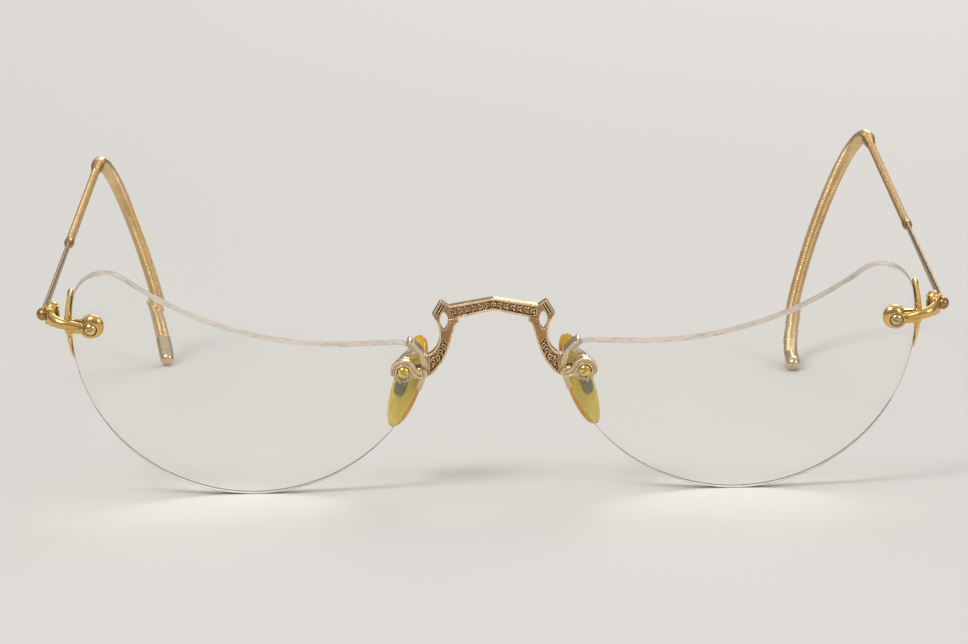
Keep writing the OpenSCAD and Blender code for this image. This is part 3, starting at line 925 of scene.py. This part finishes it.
# The dark brown spot below each nose screw is a painted shadow under the loop of the ribbon.
PALE_GOLD = GoldFinish("gold_pale", colour(255, 244, 216), colour(232, 206, 164), colour(112, 84, 54),
                       0.19, 0.8, stains=spots(NOSE_SCREW[0], NOSE_SCREW[1] - 0.8, 0.6, 1.7),
                       stain=colour(72, 48, 30))
SCREW_GOLD = GoldFinish("gold_screws", colour(255, 240, 196), colour(232, 206, 154), colour(80, 56, 30),
                        0.16)
ROSE_GOLD = GoldFinish("gold_rose", colour(255, 232, 188), colour(182, 142, 104), colour(62, 40, 26),
                       0.24, 1.2)
BRASS = GoldFinish("gold_dull", colour(222, 184, 122), colour(158, 122, 74), colour(76, 54, 30),
                   0.28, 0.6)
# Painted shade: the ear bows get a duller, browner copy of the gold, standing in for their darker
# reflections.
CABLE_GOLD = GoldFinish("gold_cable", colour(240, 210, 158), colour(190, 152, 102), colour(84, 60, 34),
                        0.24)
VERDIGRIS = GoldFinish("gold_stained", colour(222, 214, 170), colour(158, 150, 104), colour(58, 60, 40),
                       0.36, stains=spots(-19.6, -9.0, -5.0, 6.0), stain=colour(112, 114, 84))


def stamped(parts: Sequence[Piece], name: str, voxel: float, rounds: int,
            share: float = 1.0) -> Piece:
    """Fuse parts into one skin with soft edges, as stamped or cast metal has.

    Args:
        parts: Closed parts that may run into each other, in metres.
        name: The name of the result.
        voxel: The size of the skin's faces, in millimetres.
        rounds: How often the skin is smoothed.
        share: The share of the faces that is kept.

    Returns:
        The fused piece.
    """
    obj = joined(parts, name)
    modify(obj, "REMESH", mode="VOXEL", voxel_size=voxel * MILLIMETRE, adaptivity=0.0)
    if rounds:
        modify(obj, "SMOOTH", factor=0.5, iterations=rounds)
    mark_relief(obj, 24)
    if share < 1:
        modify(obj, "DECIMATE", ratio=share)
    shade(obj)
    return obj


def bead(radius: float) -> Piece:
    """One bead of a milled edge."""
    return primitive("bead", "uv_sphere", segments=8, ring_count=6, radius=radius)


def with_beads(body: Piece, rows: Sequence[Piece], name: str) -> Piece:
    """Set rows of beads on a stamped body.

    Args:
        body: The body, whose relief is stored.
        rows: The rows, half sunk in its raised edges.
        name: The name of the result.

    Returns:
        The body with its beads, which count as raised.
    """
    for row in rows:
        store(row, "relief", np.full(len(row.data.vertices), 0.05))
    obj = joined([body, *rows], name)
    shade(obj)
    return obj


@dataclass
class Bridge:
    """The arch bridge: a stamped plate with beaded edges and leaf work in its panels."""

    width: float = 15.9
    peak: float = 2.15
    bar: float = 1.6
    fall: float = 1.0
    rail: float = 0.3
    top: float = -0.12
    floor: float = -0.3
    foot_x: float = 8.85
    foot_high: float = -5.56
    foot_low: float = -8.56
    bead: float = 0.11
    bead_step: float = 0.24
    corner_width: float = 2.15
    arch_in: float = 1.1
    arch_down: float = 1.65
    bar_scrolls: Point = (1.05, 0.85)
    arm_scrolls: Point = (1.35, 0.84)
    scroll_steps: int = 22
    leaf_turn: float = 40.0
    petals: int = 6
    kept_faces: float = 0.6
    block_size: Point3 = (1.25, 0.72, 1.12)
    block_place: Point3 = (0.63, 1.98, 0.52)

    @property
    def bar_end(self) -> Array:
        """The upper corner at the end of the bar."""
        return np.array([self.width / 2 - self.corner_width, self.peak - self.fall])

    def bar_top(self) -> Array:
        """The upper edge of the bar, from the middle to its end."""
        return np.array([(0, self.peak), self.bar_end])

    def bar_low(self) -> Array:
        """The lower edge of the bar, from the middle to the arch."""
        return np.array([(0, self.peak - self.bar), self.bar_end - (self.arch_in, self.arch_down)])

    def arm_outer(self) -> Array:
        """The outer edge of an arm, from the corner block to the foot."""
        start = np.array([self.width / 2 - 0.45, self.peak - 2.9])
        end = np.array([self.foot_x, self.foot_high])
        return cubic(start, start + (-0.9, -1.85), end + (-1.95, 0.66), end, 12)

    def arm_inner(self) -> Array:
        """The inner edge of an arm, from the arch to the foot."""
        start = self.bar_end - (self.arch_in, self.arch_down + self.rail)
        end = np.array([self.foot_x, self.foot_low])
        return cubic(start, start + (1, -2.4), end + (-3.15, 1.76), end, 12)

    def beads(self) -> list[Matrix]:
        """The places of the beads along the raised edges of the right half."""
        inset = self.rail / 2
        lines = [beside(self.bar_top(), -inset), beside(self.bar_low(), inset),
                 beside(self.arm_outer(), -inset)[:12], beside(self.arm_inner(), inset)[:11]]
        return [moved(x, y, self.top) for line in lines for x, y, _ in walked(line, self.bead_step)]

    def runs(self) -> list[tuple[Matrix, float]]:
        """The places along both panels of the right half, with the scrolls' size there."""
        bar_middle = (self.bar_top() + self.bar_low()) / 2 + (0.3, -0.05)
        arm_middle = (self.arm_outer()[4:12] + self.arm_inner()[4:12]) / 2
        places = []
        for line, (size, pitch) in ((bar_middle, self.bar_scrolls), (arm_middle, self.arm_scrolls)):
            for index, (x, y, way) in enumerate(walked(line, pitch)):
                flip = scaled(1, 1 if index % 2 else -1, 1)
                places.append((moved(x, y, self.floor) @ turned("Z", way) @ flip, size))
        return places

    def scrolls(self) -> list[Matrix]:
        """The places of the scrolls, each curled the other way from the last."""
        return [place @ scaled(size, size, 1) for place, size in self.runs()]

    def leaves(self) -> list[Matrix]:
        """The places of the two leaves that spring from each scroll."""
        return [place @ moved(0.2 * size, way * 0.3 * size, 0.04) @ turned("Z", way * self.leaf_turn)
                @ scaled(0.27 * size, 0.11 * size, 0.12)
                for place, size in self.runs() for way in (-1, 1)]

    def scroll(self) -> Piece:
        """A tendril that runs in along the panel and curls up, thinner towards its end."""
        count = self.scroll_steps
        angle = np.linspace(-1.4 * math.pi, 0.75 * math.pi, count)
        away = np.linspace(0.3, 0.07, count)
        path = np.column_stack([away * np.sin(angle), away * np.cos(angle), np.full(count, 0.05)])
        thick = np.linspace(0.085, 0.05, count)
        return bar("scroll", path, (0, 0, 1), thick, thick * 1.3, 8)

    def block(self) -> Piece:
        """The small stepped block under an end of the bar."""
        obj = box("block", self.block_size)
        edit(obj, lambda: bpy.ops.mesh.bevel(offset=0.08, segments=2, affect="EDGES"))
        return obj

    def blocks(self) -> list[Matrix]:
        """The place of the block of the right half."""
        end, (inward, down, back) = self.bar_end, self.block_place
        way = -math.degrees(math.atan2(self.fall, end[0]))
        return [moved(end[0] - inward, end[1] - down, -back) @ turned("Z", way)]

    def flower(self) -> list[Matrix]:
        """The petals of the flower in the middle of the bar."""
        middle = self.peak - self.bar / 2
        return [moved(0, middle, self.floor + 0.06) @ turned("Z", 360 / self.petals * (k + 0.5))
                @ moved(0.24, 0, 0) @ scaled(0.2, 0.12, 0.14) for k in range(self.petals)]

    def leaf(self) -> Piece:
        """One leaf of unit size, pointed at its tip."""
        obj = primitive("leaf", "uv_sphere", segments=12, ring_count=8, radius=1)
        places = vertices(obj)
        places[:, 1] *= 1 - 0.6 * np.clip(places[:, 0], 0, 1) ** 2
        places[:, 2] *= 1 - 0.35 * np.clip(-places[:, 0], 0, 1)
        set_vertices(obj, places)
        return obj

    def build(self) -> None:
        """Model the bridge."""
        parts = [cad_copy("bridge", "bridge_plate")]
        for side in Side:
            for template, places in ((self.leaf(), self.leaves()), (self.scroll(), self.scrolls()),
                                     (self.block(), self.blocks())):
                parts.append(settle(copies(template, places, "relief"), STANCE.front(side)))
        parts.append(settle(copies(self.leaf(), self.flower(), "flower"), STANCE.front(Side.RIGHT)))
        plate = stamped(parts, "plate", 0.045, 1, self.kept_faces)
        rows = [settle(copies(bead(self.bead), self.beads(), "beads"), STANCE.front(side)) for side in Side]
        finished(with_beads(plate, rows, "engraved_bridge"), [ROSE_GOLD], "front", "bridge")


@dataclass
class SidePart:
    """A part that both sides have."""

    side: Side

    def named(self, name: str) -> str:
        """A name that ends in the side's word."""
        return f"{name}_{self.side.word}"

    def handed(self, obj: Piece, finishes: Sequence[Finish], slot: Slot, node: str,
               body: str = "front") -> None:
        """Hand over the piece that replaces a node of this side."""
        finished(obj, finishes, body, self.named(node))

    def soften(self, node: str, name: str, voxel: float, rounds: int, finish: GoldFinish,
               slot: Slot, body: str = "front") -> None:
        """Replace a node with a copy that has soft edges.

        Args:
            node: The node, without the side's word.
            name: The piece's name, without it too.
            voxel: The size of its faces, in millimetres.
            rounds: How often it is smoothed.
            finish: Its finish.
            slot: Its slot in the record, which is not used.
            body: The body that it rides on.
        """
        obj = stamped([cad_copy(self.named(node), name)], self.named(name), voxel, rounds)
        self.handed(obj, [finish], slot, node, body)


@dataclass
class Mounts(SidePart):
    """The nose strap with its beaded ribbon, the guard wire, the pad's plate and the screws."""

    bead: float = 0.09
    bead_step: float = 0.2
    bead_sink: float = 0.02
    ribbon_radius: float = 1.32
    ribbon_width: float = 0.8
    ribbon_lift: float = 0.12
    ribbon_turn: Point = (140.0, -15.0)
    rail: float = 0.2
    rail_high: float = 0.18
    ear: float = 0.6
    seat: float = 0.04
    eye_size: Point3 = (1.5, 1.5, 0.3)
    eye_high: float = 0.68
    eye_floor: float = 0.39
    tip_round: float = 0.36
    tip_angle: float = 117.0

    def ribbon(self) -> Array:
        """The middle line of the ribbon that loops over the nose screw."""
        screw = np.array(LENS.screws()["nose"])
        start = np.array([LENS.corner[0] - LENS.corner_radius + 0.1, screw[1] - 0.3])
        loop = arc(tuple(screw), self.ribbon_radius, *self.ribbon_turn, 16)
        out = (loop[0] - screw) / self.ribbon_radius
        along = np.array([out[1], -out[0]])
        rise = cubic(start, start + (0.8, -0.3), loop[0] - 0.7 * along, loop[0], 8)
        return np.concatenate([rise, loop[1:]])

    def tip(self) -> Piece:
        """The rounded upper tip of the nose strap."""
        reach = LENS.corner_radius + self.seat + self.tip_round
        angle = math.radians(self.tip_angle)
        x, y = LENS.corner + reach * np.array([math.cos(angle), math.sin(angle)])
        front, back = 0.2, -LENS.edge - 0.3
        egg = lump("tip", (x, y, (front + back) / 2),
                   (self.tip_round, self.tip_round, (front - back) / 2 + 0.12))
        return settle(egg, glass_frame(self.side))

    def ribbon_top(self) -> float:
        """Height of the middles of the beads on the ribbon's raised edges."""
        glass = float(LENS.front(LENS.radius - LENS.screw_inset))
        return glass + self.seat + self.ear + self.ribbon_lift + self.rail_high - self.bead_sink

    def build(self) -> None:
        """Model the mounts."""
        glass = glass_frame(self.side)
        edge = self.ribbon_width / 2 - self.rail / 2
        places = [moved(x, y, self.ribbon_top()) for way in (-edge, edge)
                  for x, y, _ in walked(beside(self.ribbon(), way), self.bead_step)]
        beads = settle(copies(bead(self.bead), places, "ribbon_beads"), glass)
        eye = lump("eye", (*LENS.screws()["nose"], self.eye_high), self.eye_size, self.eye_floor)
        parts = [cad_copy(self.named("nose_strap"), "strap"), self.tip(), settle(eye, glass)]
        strap = with_beads(stamped(parts, "strap", 0.045, 3), [beads], self.named("beaded_strap"))
        self.handed(strap, [PALE_GOLD], Slot.PALE, "nose_strap")
        self.soften("guard_arm", "guard_wire", 0.05, 6, PALE_GOLD, Slot.PALE)
        self.soften("pad_plate", "pad_mount", 0.05, 4, VERDIGRIS, Slot.PALE)
        self.soften("nose_screw", "nose_screw_turned", 0.03, 2, BRIGHT_GOLD, Slot.YELLOW)
        self.soften("end_screw", "end_screw_turned", 0.03, 2, SCREW_GOLD, Slot.PALE)
        self.soften("hinge_screw", "hinge_pin", 0.03, 2, YELLOW_GOLD, Slot.YELLOW)


@dataclass
class EndPiece(SidePart):
    """The end piece: a domed boss, a waisted bar that swells into the lug, and a bright strap."""

    seat: float = 0.04
    over: float = 0.62
    screw_floor: float = 1.03
    head: float = 0.93
    strap_reach: float = 4.3
    strap_high: float = 0.2
    rim: float = 0.36
    rim_steps: int = 24
    lug: float = 25.75
    saw_out: float = 0.72
    saw_back: float = 1.45
    file_out: float = 0.62
    file_down: float = 1.3
    file_turn: float = 15.6

    def lug_bar(self) -> Piece:
        """The bar over the edge of the glass, which turns back into the tall lug."""
        end_y, edge, over, lug = LENS.screws()["end"][1], LENS.radius, self.over, self.lug
        crest = (edge + 0.7, end_y + 0.62, over)
        over_edge = cubic((edge - 1.65, end_y + 0.12, over), (edge - 0.9, end_y + 0.2, over - 0.05),
                          (edge - 0.1, end_y + 0.55, over + 0.05), crest, 12)
        to_lug = cubic(crest, (edge + 1.7, end_y + 0.72, over - 0.1), (lug + 0.05, LENS.drop, -0.2),
                       (lug, LENS.drop, -1.6), 14)
        path = np.concatenate([over_edge[:-1], to_lug])
        share = np.linspace(0, 1, len(path))
        waist = np.sin(math.pi * np.clip(share / 0.45, 0, 1))
        flare = np.clip((share - 0.45) / 0.55, 0, 1)
        return bar("lug_bar", path, (0, 1, 0), 0.52 + 0.14 * np.sin(math.pi * share),
                   0.68 - 0.12 * waist + 0.22 * flare**1.4, 28)

    def strap_rim(self) -> Piece:
        """The rounded front edge of the strap, thin below and thick above."""
        high = math.degrees(math.asin(self.strap_reach / LENS.radius))
        base = LENS.radius + self.seat
        share = np.linspace(0, 1, self.rim_steps + 1)
        away = np.interp(share, (0, 0.4, 0.6, 1), (0.16, 0.36, 0.44, 0.38))
        flat = arc((0, 0), base, 0.6 - high, high, self.rim_steps) * (1 + away / base)[:, None]
        path = np.column_stack([flat, np.full(len(flat), self.strap_high - 0.26)])
        thick = self.rim * np.interp(share, (0, 0.45, 0.6, 1), (0.3, 0.8, 1, 0.85))
        return bar("strap_rim", path, (0, 0, 1), thick, thick, 16)

    def casting(self) -> Piece:
        """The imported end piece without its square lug, and with its lower strap filed thin."""
        glass = glass_frame(self.side)
        body = cad_copy(self.named("end_piece"), "end_piece")
        saw = box("saw", (6, 8, 5), (3, 0, 2.5))
        cut(body, settle(saw, glass @ moved(LENS.radius + self.saw_out, 0, -self.saw_back)))
        file = box("file", (4, 6, 8), (2, -3, -1))
        cut(body, settle(file, glass @ moved(LENS.radius + self.file_out, -self.file_down, 0)
                         @ turned("Z", -self.file_turn)))
        return body

    def build(self) -> None:
        """Model the end piece."""
        glass, edge = glass_frame(self.side), LENS.radius
        x, y = LENS.screws()["end"]
        body = self.casting()
        high = math.asin(self.strap_reach / edge)
        away = edge + self.seat + 0.3
        parts = [settle(part, glass) for part in (
            lump("dome", (x - 0.35, y + 0.3, 0.62), (1.42, 1.56, 0.82), 0.4),
            self.lug_bar(),
            lump("knob", (edge + 0.3, y + 0.4, 0.15), (0.6, 0.92, 0.72)),
            lump("ball", (away * math.cos(high), away * math.sin(high), -0.28), (0.34, 0.42, 0.6)),
            lump("shoulder", (self.lug, LENS.drop, -1.15), (0.6, 1.3, 0.4)),
            lump("low_root", (edge + 0.16, y - 1.5, 0.05), (0.2, 0.45, 0.28)),
            lump("high_root", (edge + 0.16, y + 1.9, 0.05), (0.2, 0.45, 0.28)),
            self.strap_rim())]
        drill = primitive("drill", "cylinder", vertices=48, radius=self.head, depth=3)
        settle(drill, glass @ moved(x, y, self.screw_floor + 1.5))
        for part in parts[:2]:
            modify(part, "BOOLEAN", operation="DIFFERENCE", object=drill, solver="EXACT")
        bpy.data.objects.remove(drill)
        obj = stamped([body, *parts], self.named("cast_end_piece"), 0.05, 4)
        self.handed(obj, [YELLOW_GOLD], Slot.YELLOW, "end_piece")


@dataclass
class Lens(SidePart):
    """One lens: two polished surfaces, a ground edge with two bevels, and two drilled holes."""

    rings: int = 12
    middle: Point = (0.0, -9.0)

    def build(self) -> None:
        """Model the lens."""
        outline = LENS.outline()
        obj = primitive(self.named("polished_lens"), "circle", vertices=len(outline), radius=1,
                        fill_type="NOTHING")
        set_vertices(obj, np.column_stack([outline, np.zeros(len(outline))]))
        edit(obj, *[self.ring(share) for share in self.shrinks()],
             lambda: bpy.ops.mesh.merge(type="CENTER"),
             lambda: bpy.ops.mesh.select_all(action="SELECT"), face_outwards)
        modify(obj, "SOLIDIFY", thickness=1.0, offset=0.0)
        places = vertices(obj)
        away = np.hypot(places[:, 0], places[:, 1])
        places[:, 2] = np.where(places[:, 2] > 0, LENS.front(away), LENS.back(away))
        set_vertices(obj, places)
        edit(obj, face_outwards)
        modify(obj, "BEVEL", width=LENS.bevel, segments=2, limit_method="ANGLE",
               angle_limit=math.radians(50), harden_normals=False)
        for x, y in LENS.screws().values():
            cut(obj, primitive("drill", "cylinder", vertices=40, radius=LENS.hole_radius, depth=12,
                               location=(x, y, 0)))
        ground = [int(abs(face.normal.z) < 0.9) for face in obj.data.polygons]
        settle(obj, glass_frame(self.side))
        shade(obj, 22)
        self.handed(obj, [ClearGlass(), GroundGlass()], Slot.GLASS, "lens")
        obj.data.polygons.foreach_set("material_index", ground)

    def shrinks(self) -> list[float]:
        """The share by which each ring is smaller than the one outside it."""
        sizes = [1.0, 0.97] + [1 - (k / self.rings) ** 0.9 for k in range(2, self.rings)]
        return [inner / outer for outer, inner in zip(sizes, sizes[1:])]

    def ring(self, share: float) -> Callable[[], None]:
        """A step that adds the next ring inside the last one."""
        def step() -> None:
            """Extrude the last ring and draw it in."""
            bpy.ops.mesh.extrude_edges_move()
            bpy.ops.transform.resize(value=(share, share, 1), center_override=(*self.middle, 0))
        return step


@dataclass
class NosePad(SidePart):
    """One oval pad of amber celluloid, crowned on both faces and rounded at its rim."""

    length: float = 13.0
    width: float = 6.4
    thick: float = 1.5
    down: float = 10.8
    behind: float = 3.9
    out: float = 3.15
    spread: float = 27.0
    splay: float = 20.0
    fullness: float = 2.7

    def build(self) -> None:
        """Model the pad."""
        obj = primitive(self.named("amber_pad"), "uv_sphere", segments=96, ring_count=48, radius=1)
        places = vertices(obj)
        flat = np.hypot(places[:, 0], places[:, 1])
        height = np.clip(1 - flat**self.fullness, 0, 1) ** (1 / self.fullness)
        places[:, 2] = np.sign(places[:, 2]) * height
        store(obj, "rim", flat)
        set_vertices(obj, places * (self.width / 2, self.length / 2, self.thick / 2))
        x = LENS.pitch / 2 - LENS.radius + self.out
        back = float(LENS.back(LENS.radius)) - self.behind
        settle(obj, STANCE.front(self.side) @ moved(x, -self.down, back) @ turned("Z", self.splay)
               @ turned("Y", 90 - self.spread))
        shade(obj)
        self.handed(obj, [Celluloid()], Slot.AMBER, "nose_pad")


@dataclass
class Temple(SidePart):
    """One temple: a drawn shank, a collar, a wire-wound cable, the ear bow and its cap."""

    reach: float = 97.0
    shank: float = 43.0
    collar: float = 1.6
    overlap: float = 0.8
    gap: float = 0.02
    cable: float = 0.6
    bow_cable: float = 1.0
    bow: float = 17.5
    taper: float = 5.0
    tail: float = 3.5
    shank_out: float = 1.2
    toe_in: float = 0.6
    fine_wire: float = 0.11
    coarse_wire: float = 0.15

    @property
    def wrap(self) -> float:
        """How far the bow is wound round, in degrees."""
        return 138.0 if self.side is Side.LEFT else 179.0

    @property
    def lean(self) -> float:
        """The inward lean of the bow, in degrees."""
        return 17.0 if self.side is Side.LEFT else 19.4

    def lift(self) -> float:
        """The small turn that brings the temple's tip down to the table, in degrees."""
        wrap, lean, toe = (math.radians(turn) for turn in (self.wrap, self.lean, self.toe_in))
        drop = self.bow * (1 - math.cos(wrap)) + self.tail * math.sin(wrap)
        along = self.reach + self.bow * math.sin(wrap) + self.tail * math.cos(wrap)
        y = along * math.cos(toe) - drop * math.sin(lean) * math.sin(toe)
        z = -drop * math.cos(lean)
        cap = self.bow_cable + 0.05
        rise = math.asin((cap - STANCE.hinge(self.side).z) / math.hypot(y, z))
        return math.degrees(rise - math.atan2(z, y)) - STANCE.stand_tilt

    def frame(self) -> Matrix:
        """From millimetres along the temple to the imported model."""
        return (STANCE.hinge_frame(self.side) @ moved(self.shank_out, 0, 0)
                @ turned("X", self.lift()) @ turned("Z", self.toe_in))

    def bow_frame(self) -> Matrix:
        """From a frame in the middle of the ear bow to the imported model."""
        return (self.frame() @ moved(0, self.reach, 0) @ turned("Y", self.lean)
                @ moved(0, 0, -self.bow) @ turned("Y", -90))

    def core(self, radii: Array, length: float) -> Piece:
        """A plain core along Y, closed at both ends.

        Args:
            radii: Its radius at each of its even rings.
            length: Its length.

        Returns:
            The core.
        """
        centres = np.outer(np.linspace(0, length, len(radii)), (0, 1, 0))
        return swept("core", centres, np.outer(radii, (1, 0, 0)), np.outer(radii, (0, 0, 1)), 24)

    def coil(self, radius: float, wire: float, length: float, sides: int, steps: int) -> Piece:
        """A wire wound close round the Y axis.

        Args:
            radius: The outer radius of the winding.
            wire: The radius of the wire.
            length: The length of the winding.
            sides: The sides of the wire.
            steps: The steps in each turn.

        Returns:
            The winding.
        """
        obj = primitive("coil", "circle", vertices=sides, radius=wire, location=(radius - wire, wire, 0))
        turns = int(length / (2 * wire)) - 1
        pitch = (length - 2 * wire) / turns
        modify(obj, "SCREW", axis="Y", angle=2 * math.pi, screw_offset=pitch, iterations=turns,
               steps=steps, render_steps=steps, use_merge_vertices=False, use_smooth_shade=True)
        edit(obj, lambda: bpy.ops.mesh.fill_holes(sides=0))
        return obj

    def wound(self, obj: Piece, name: str, place: Matrix, node: str, finish: GoldFinish) -> None:
        """Place, smooth and hand over a wound or turned piece.

        Args:
            obj: The piece, in millimetres.
            name: Its name, without the side's word.
            place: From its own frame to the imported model's.
            node: The node that it replaces.
            finish: Its finish.
        """
        settle(obj, place).name = self.named(name)
        mark_relief(obj, 6)
        shade(obj, 50)
        self.handed(obj, [finish], Slot.YELLOW, node, self.named("temple"))

    def straight(self) -> None:
        """Wind the straight cable, which thickens towards the ear bow."""
        start = self.shank + self.collar + 2 * self.gap
        length = self.reach - start - self.gap
        bare = length - self.taper
        core = self.cable - self.fine_wire
        outer = self.coil(self.cable, self.coarse_wire, self.taper, 8, 18)
        places = vertices(outer)
        away = np.hypot(places[:, 0], places[:, 2])
        gain = (self.bow_cable - self.cable) * np.clip(places[:, 1] / self.taper, 0, 1)
        places[:, [0, 2]] *= ((away + gain) / away)[:, None]
        places[:, 1] += bare
        set_vertices(outer, places)
        cone = self.core(np.linspace(core, self.bow_cable - self.coarse_wire, 7), self.taper)
        cone.data.transform(moved(0, bare, 0))
        obj = joined([self.core(np.full(41, core), length),
                      self.coil(self.cable, self.fine_wire, bare + 0.6, 6, 14), outer, cone], "cable")
        self.wound(obj, "wound_cable", self.frame() @ moved(0, start, 0), "temple_cable", BRASS)

    def sleeve(self) -> None:
        """Turn the slim collar between the shank and the cable."""
        share = np.linspace(0, 1, 25)
        radii = self.cable + 0.1 * np.sin(math.pi * np.clip(share * 1.02, 0, 1)) ** 0.5 \
            - 0.1 * np.clip(1 - share * 8, 0, 1)
        for groove in (0.3, 0.84):
            radii -= 0.05 * np.exp(-((share - groove) / 0.03) ** 2)
        place = self.frame() @ moved(0, self.shank - self.overlap + self.gap, 0)
        self.wound(self.core(radii, self.overlap + self.collar), "collar", place, "cable_ferrule", BRASS)

    def curved(self) -> None:
        """Wind the ear bow, straight first and then bent round."""
        length = self.bow * math.radians(self.wrap)
        obj = joined([self.core(np.full(65, self.bow_cable - self.coarse_wire), length),
                      self.coil(self.bow_cable, self.coarse_wire, length, 8, 18)], "bow")
        places = vertices(obj)
        angle = places[:, 1] / self.bow
        away = self.bow + places[:, 0]
        set_vertices(obj, np.column_stack([away * np.cos(angle), away * np.sin(angle), places[:, 2]]))
        self.wound(obj, "wound_bow", self.bow_frame(), "ear_bow", CABLE_GOLD)

    def build(self) -> None:
        """Model the temple."""
        self.sleeve()
        self.straight()
        self.curved()
        body = self.named("temple")
        self.soften("temple_shank", "drawn_shank", 0.07, 6, BRASS, Slot.YELLOW, body)
        self.soften("bow_cap", "tip_cap", 0.05, 3, PALE_GOLD, Slot.YELLOW, body)


@dataclass(frozen=True)
class Studio:
    """A pale floor, soft lamps and the camera at the photograph's angle."""

    floor_size: float = 8.0
    floor_tone: Colour = colour(222, 218, 212)
    distance: float = 639.2
    elevation: float = 8.70
    yaw: float = 0.736
    roll: float = 0.606
    focal_pixels: float = 4932.7
    centre_pixel: Point = (493.26, 308.47)
    image: Point = (968, 644)
    sensor: float = 36.0
    horizon: Colour = (0.16, 0.16, 0.17, 1.0)
    overhead: Colour = (0.62, 0.62, 0.62, 1.0)

    def floor(self) -> None:
        """Lay the floor."""
        obj = primitive("studio_floor", "plane", size=self.floor_size)
        material = bpy.data.materials.new("floor_paper")
        material.use_nodes = True
        graph = Graph(material.node_tree)
        graph.surface(graph.node("ShaderNodeBsdfPrincipled", None, {
            "Base Color": self.floor_tone, "Roughness": 0.75, "Specular IOR Level": 0.2}))
        obj.data.materials.append(material)

    def lamp(self, name: str, place: Point3, size: float, power: float) -> None:
        """Hang a soft square lamp that faces the object.

        Args:
            name: Its name.
            place: Where it hangs, in metres.
            size: The length of its side, in metres.
            power: Its power, in watts.
        """
        data = bpy.data.lights.new(name, "AREA")
        data.size = size
        data.energy = power
        obj = bpy.data.objects.new(name, data)
        obj.location = place
        obj.rotation_euler = (-Vector(place)).to_track_quat("-Z", "Y").to_euler()
        obj.visible_camera = False
        bpy.context.collection.objects.link(obj)

    def sky(self) -> None:
        """Light the world: dim towards the horizon and brighter overhead."""
        world = bpy.data.worlds.new("studio")
        world.use_nodes = True
        bpy.context.scene.world = world
        graph = Graph(world.node_tree)
        way = graph.node("ShaderNodeTexCoord").outputs["Generated"]
        parts = graph.node("ShaderNodeSeparateXYZ", None, {0: way})
        height = Value(graph, parts.outputs["Z"]).over(0.0, 0.8)
        tone = graph.mixed(height, self.horizon, self.overhead)
        sky = graph.node("ShaderNodeBackground", None, {"Color": tone, "Strength": 1.0})
        graph.node("ShaderNodeOutputWorld", None, {"Surface": sky.outputs[0]})

    def camera(self) -> None:
        """Set up the camera from the place of the photograph's camera."""
        hinge = STANCE.hinge(Side.RIGHT) * MILLIMETRE
        target = Vector((0, hinge.y, hinge.z))
        away = self.distance * MILLIMETRE
        level = away * math.cos(math.radians(self.elevation))
        yaw = math.radians(self.yaw)
        back = Vector((-level * math.sin(yaw), -level * math.cos(yaw),
                       away * math.sin(math.radians(self.elevation))))
        data = bpy.data.cameras.new("camera")
        data.sensor_width = self.sensor
        data.lens = self.focal_pixels / self.image[0] * self.sensor
        data.shift_x = (self.image[0] / 2 - self.centre_pixel[0]) / self.image[0]
        data.shift_y = (self.centre_pixel[1] - self.image[1] / 2) / self.image[0]
        data.clip_start, data.clip_end = 0.01, 20
        obj = bpy.data.objects.new("camera", data)
        look = (-back).to_track_quat("-Z", "Y").to_matrix().to_4x4()
        obj.matrix_world = Matrix.Translation(target + back) @ look @ turned("Z", -self.roll)
        bpy.context.collection.objects.link(obj)
        bpy.context.scene.camera = obj

    def build(self) -> None:
        """Set the whole stage."""
        self.camera()
        self.floor()
        self.sky()
        self.lamp("key_lamp", (-0.55, -0.75, 0.95), 0.45, 6.0)
        self.lamp("fill_lamp", (0.9, -0.7, 0.5), 0.5, 2.2)
        self.lamp("back_lamp", (0.25, 0.95, 0.8), 0.6, 4.5)
        bpy.context.scene.view_settings.view_transform = "Standard"


def main() -> None:
    """Build the stage and every piece."""
    logging.basicConfig(level=logging.INFO, format="%(name)s: %(message)s")
    Studio().build()
    Bridge().build()
    for side in Side:
        for part in (Mounts, EndPiece, Lens, NosePad, Temple):
            part(side).build()
    deselect_all()


if __name__ == "__main__":
    main()
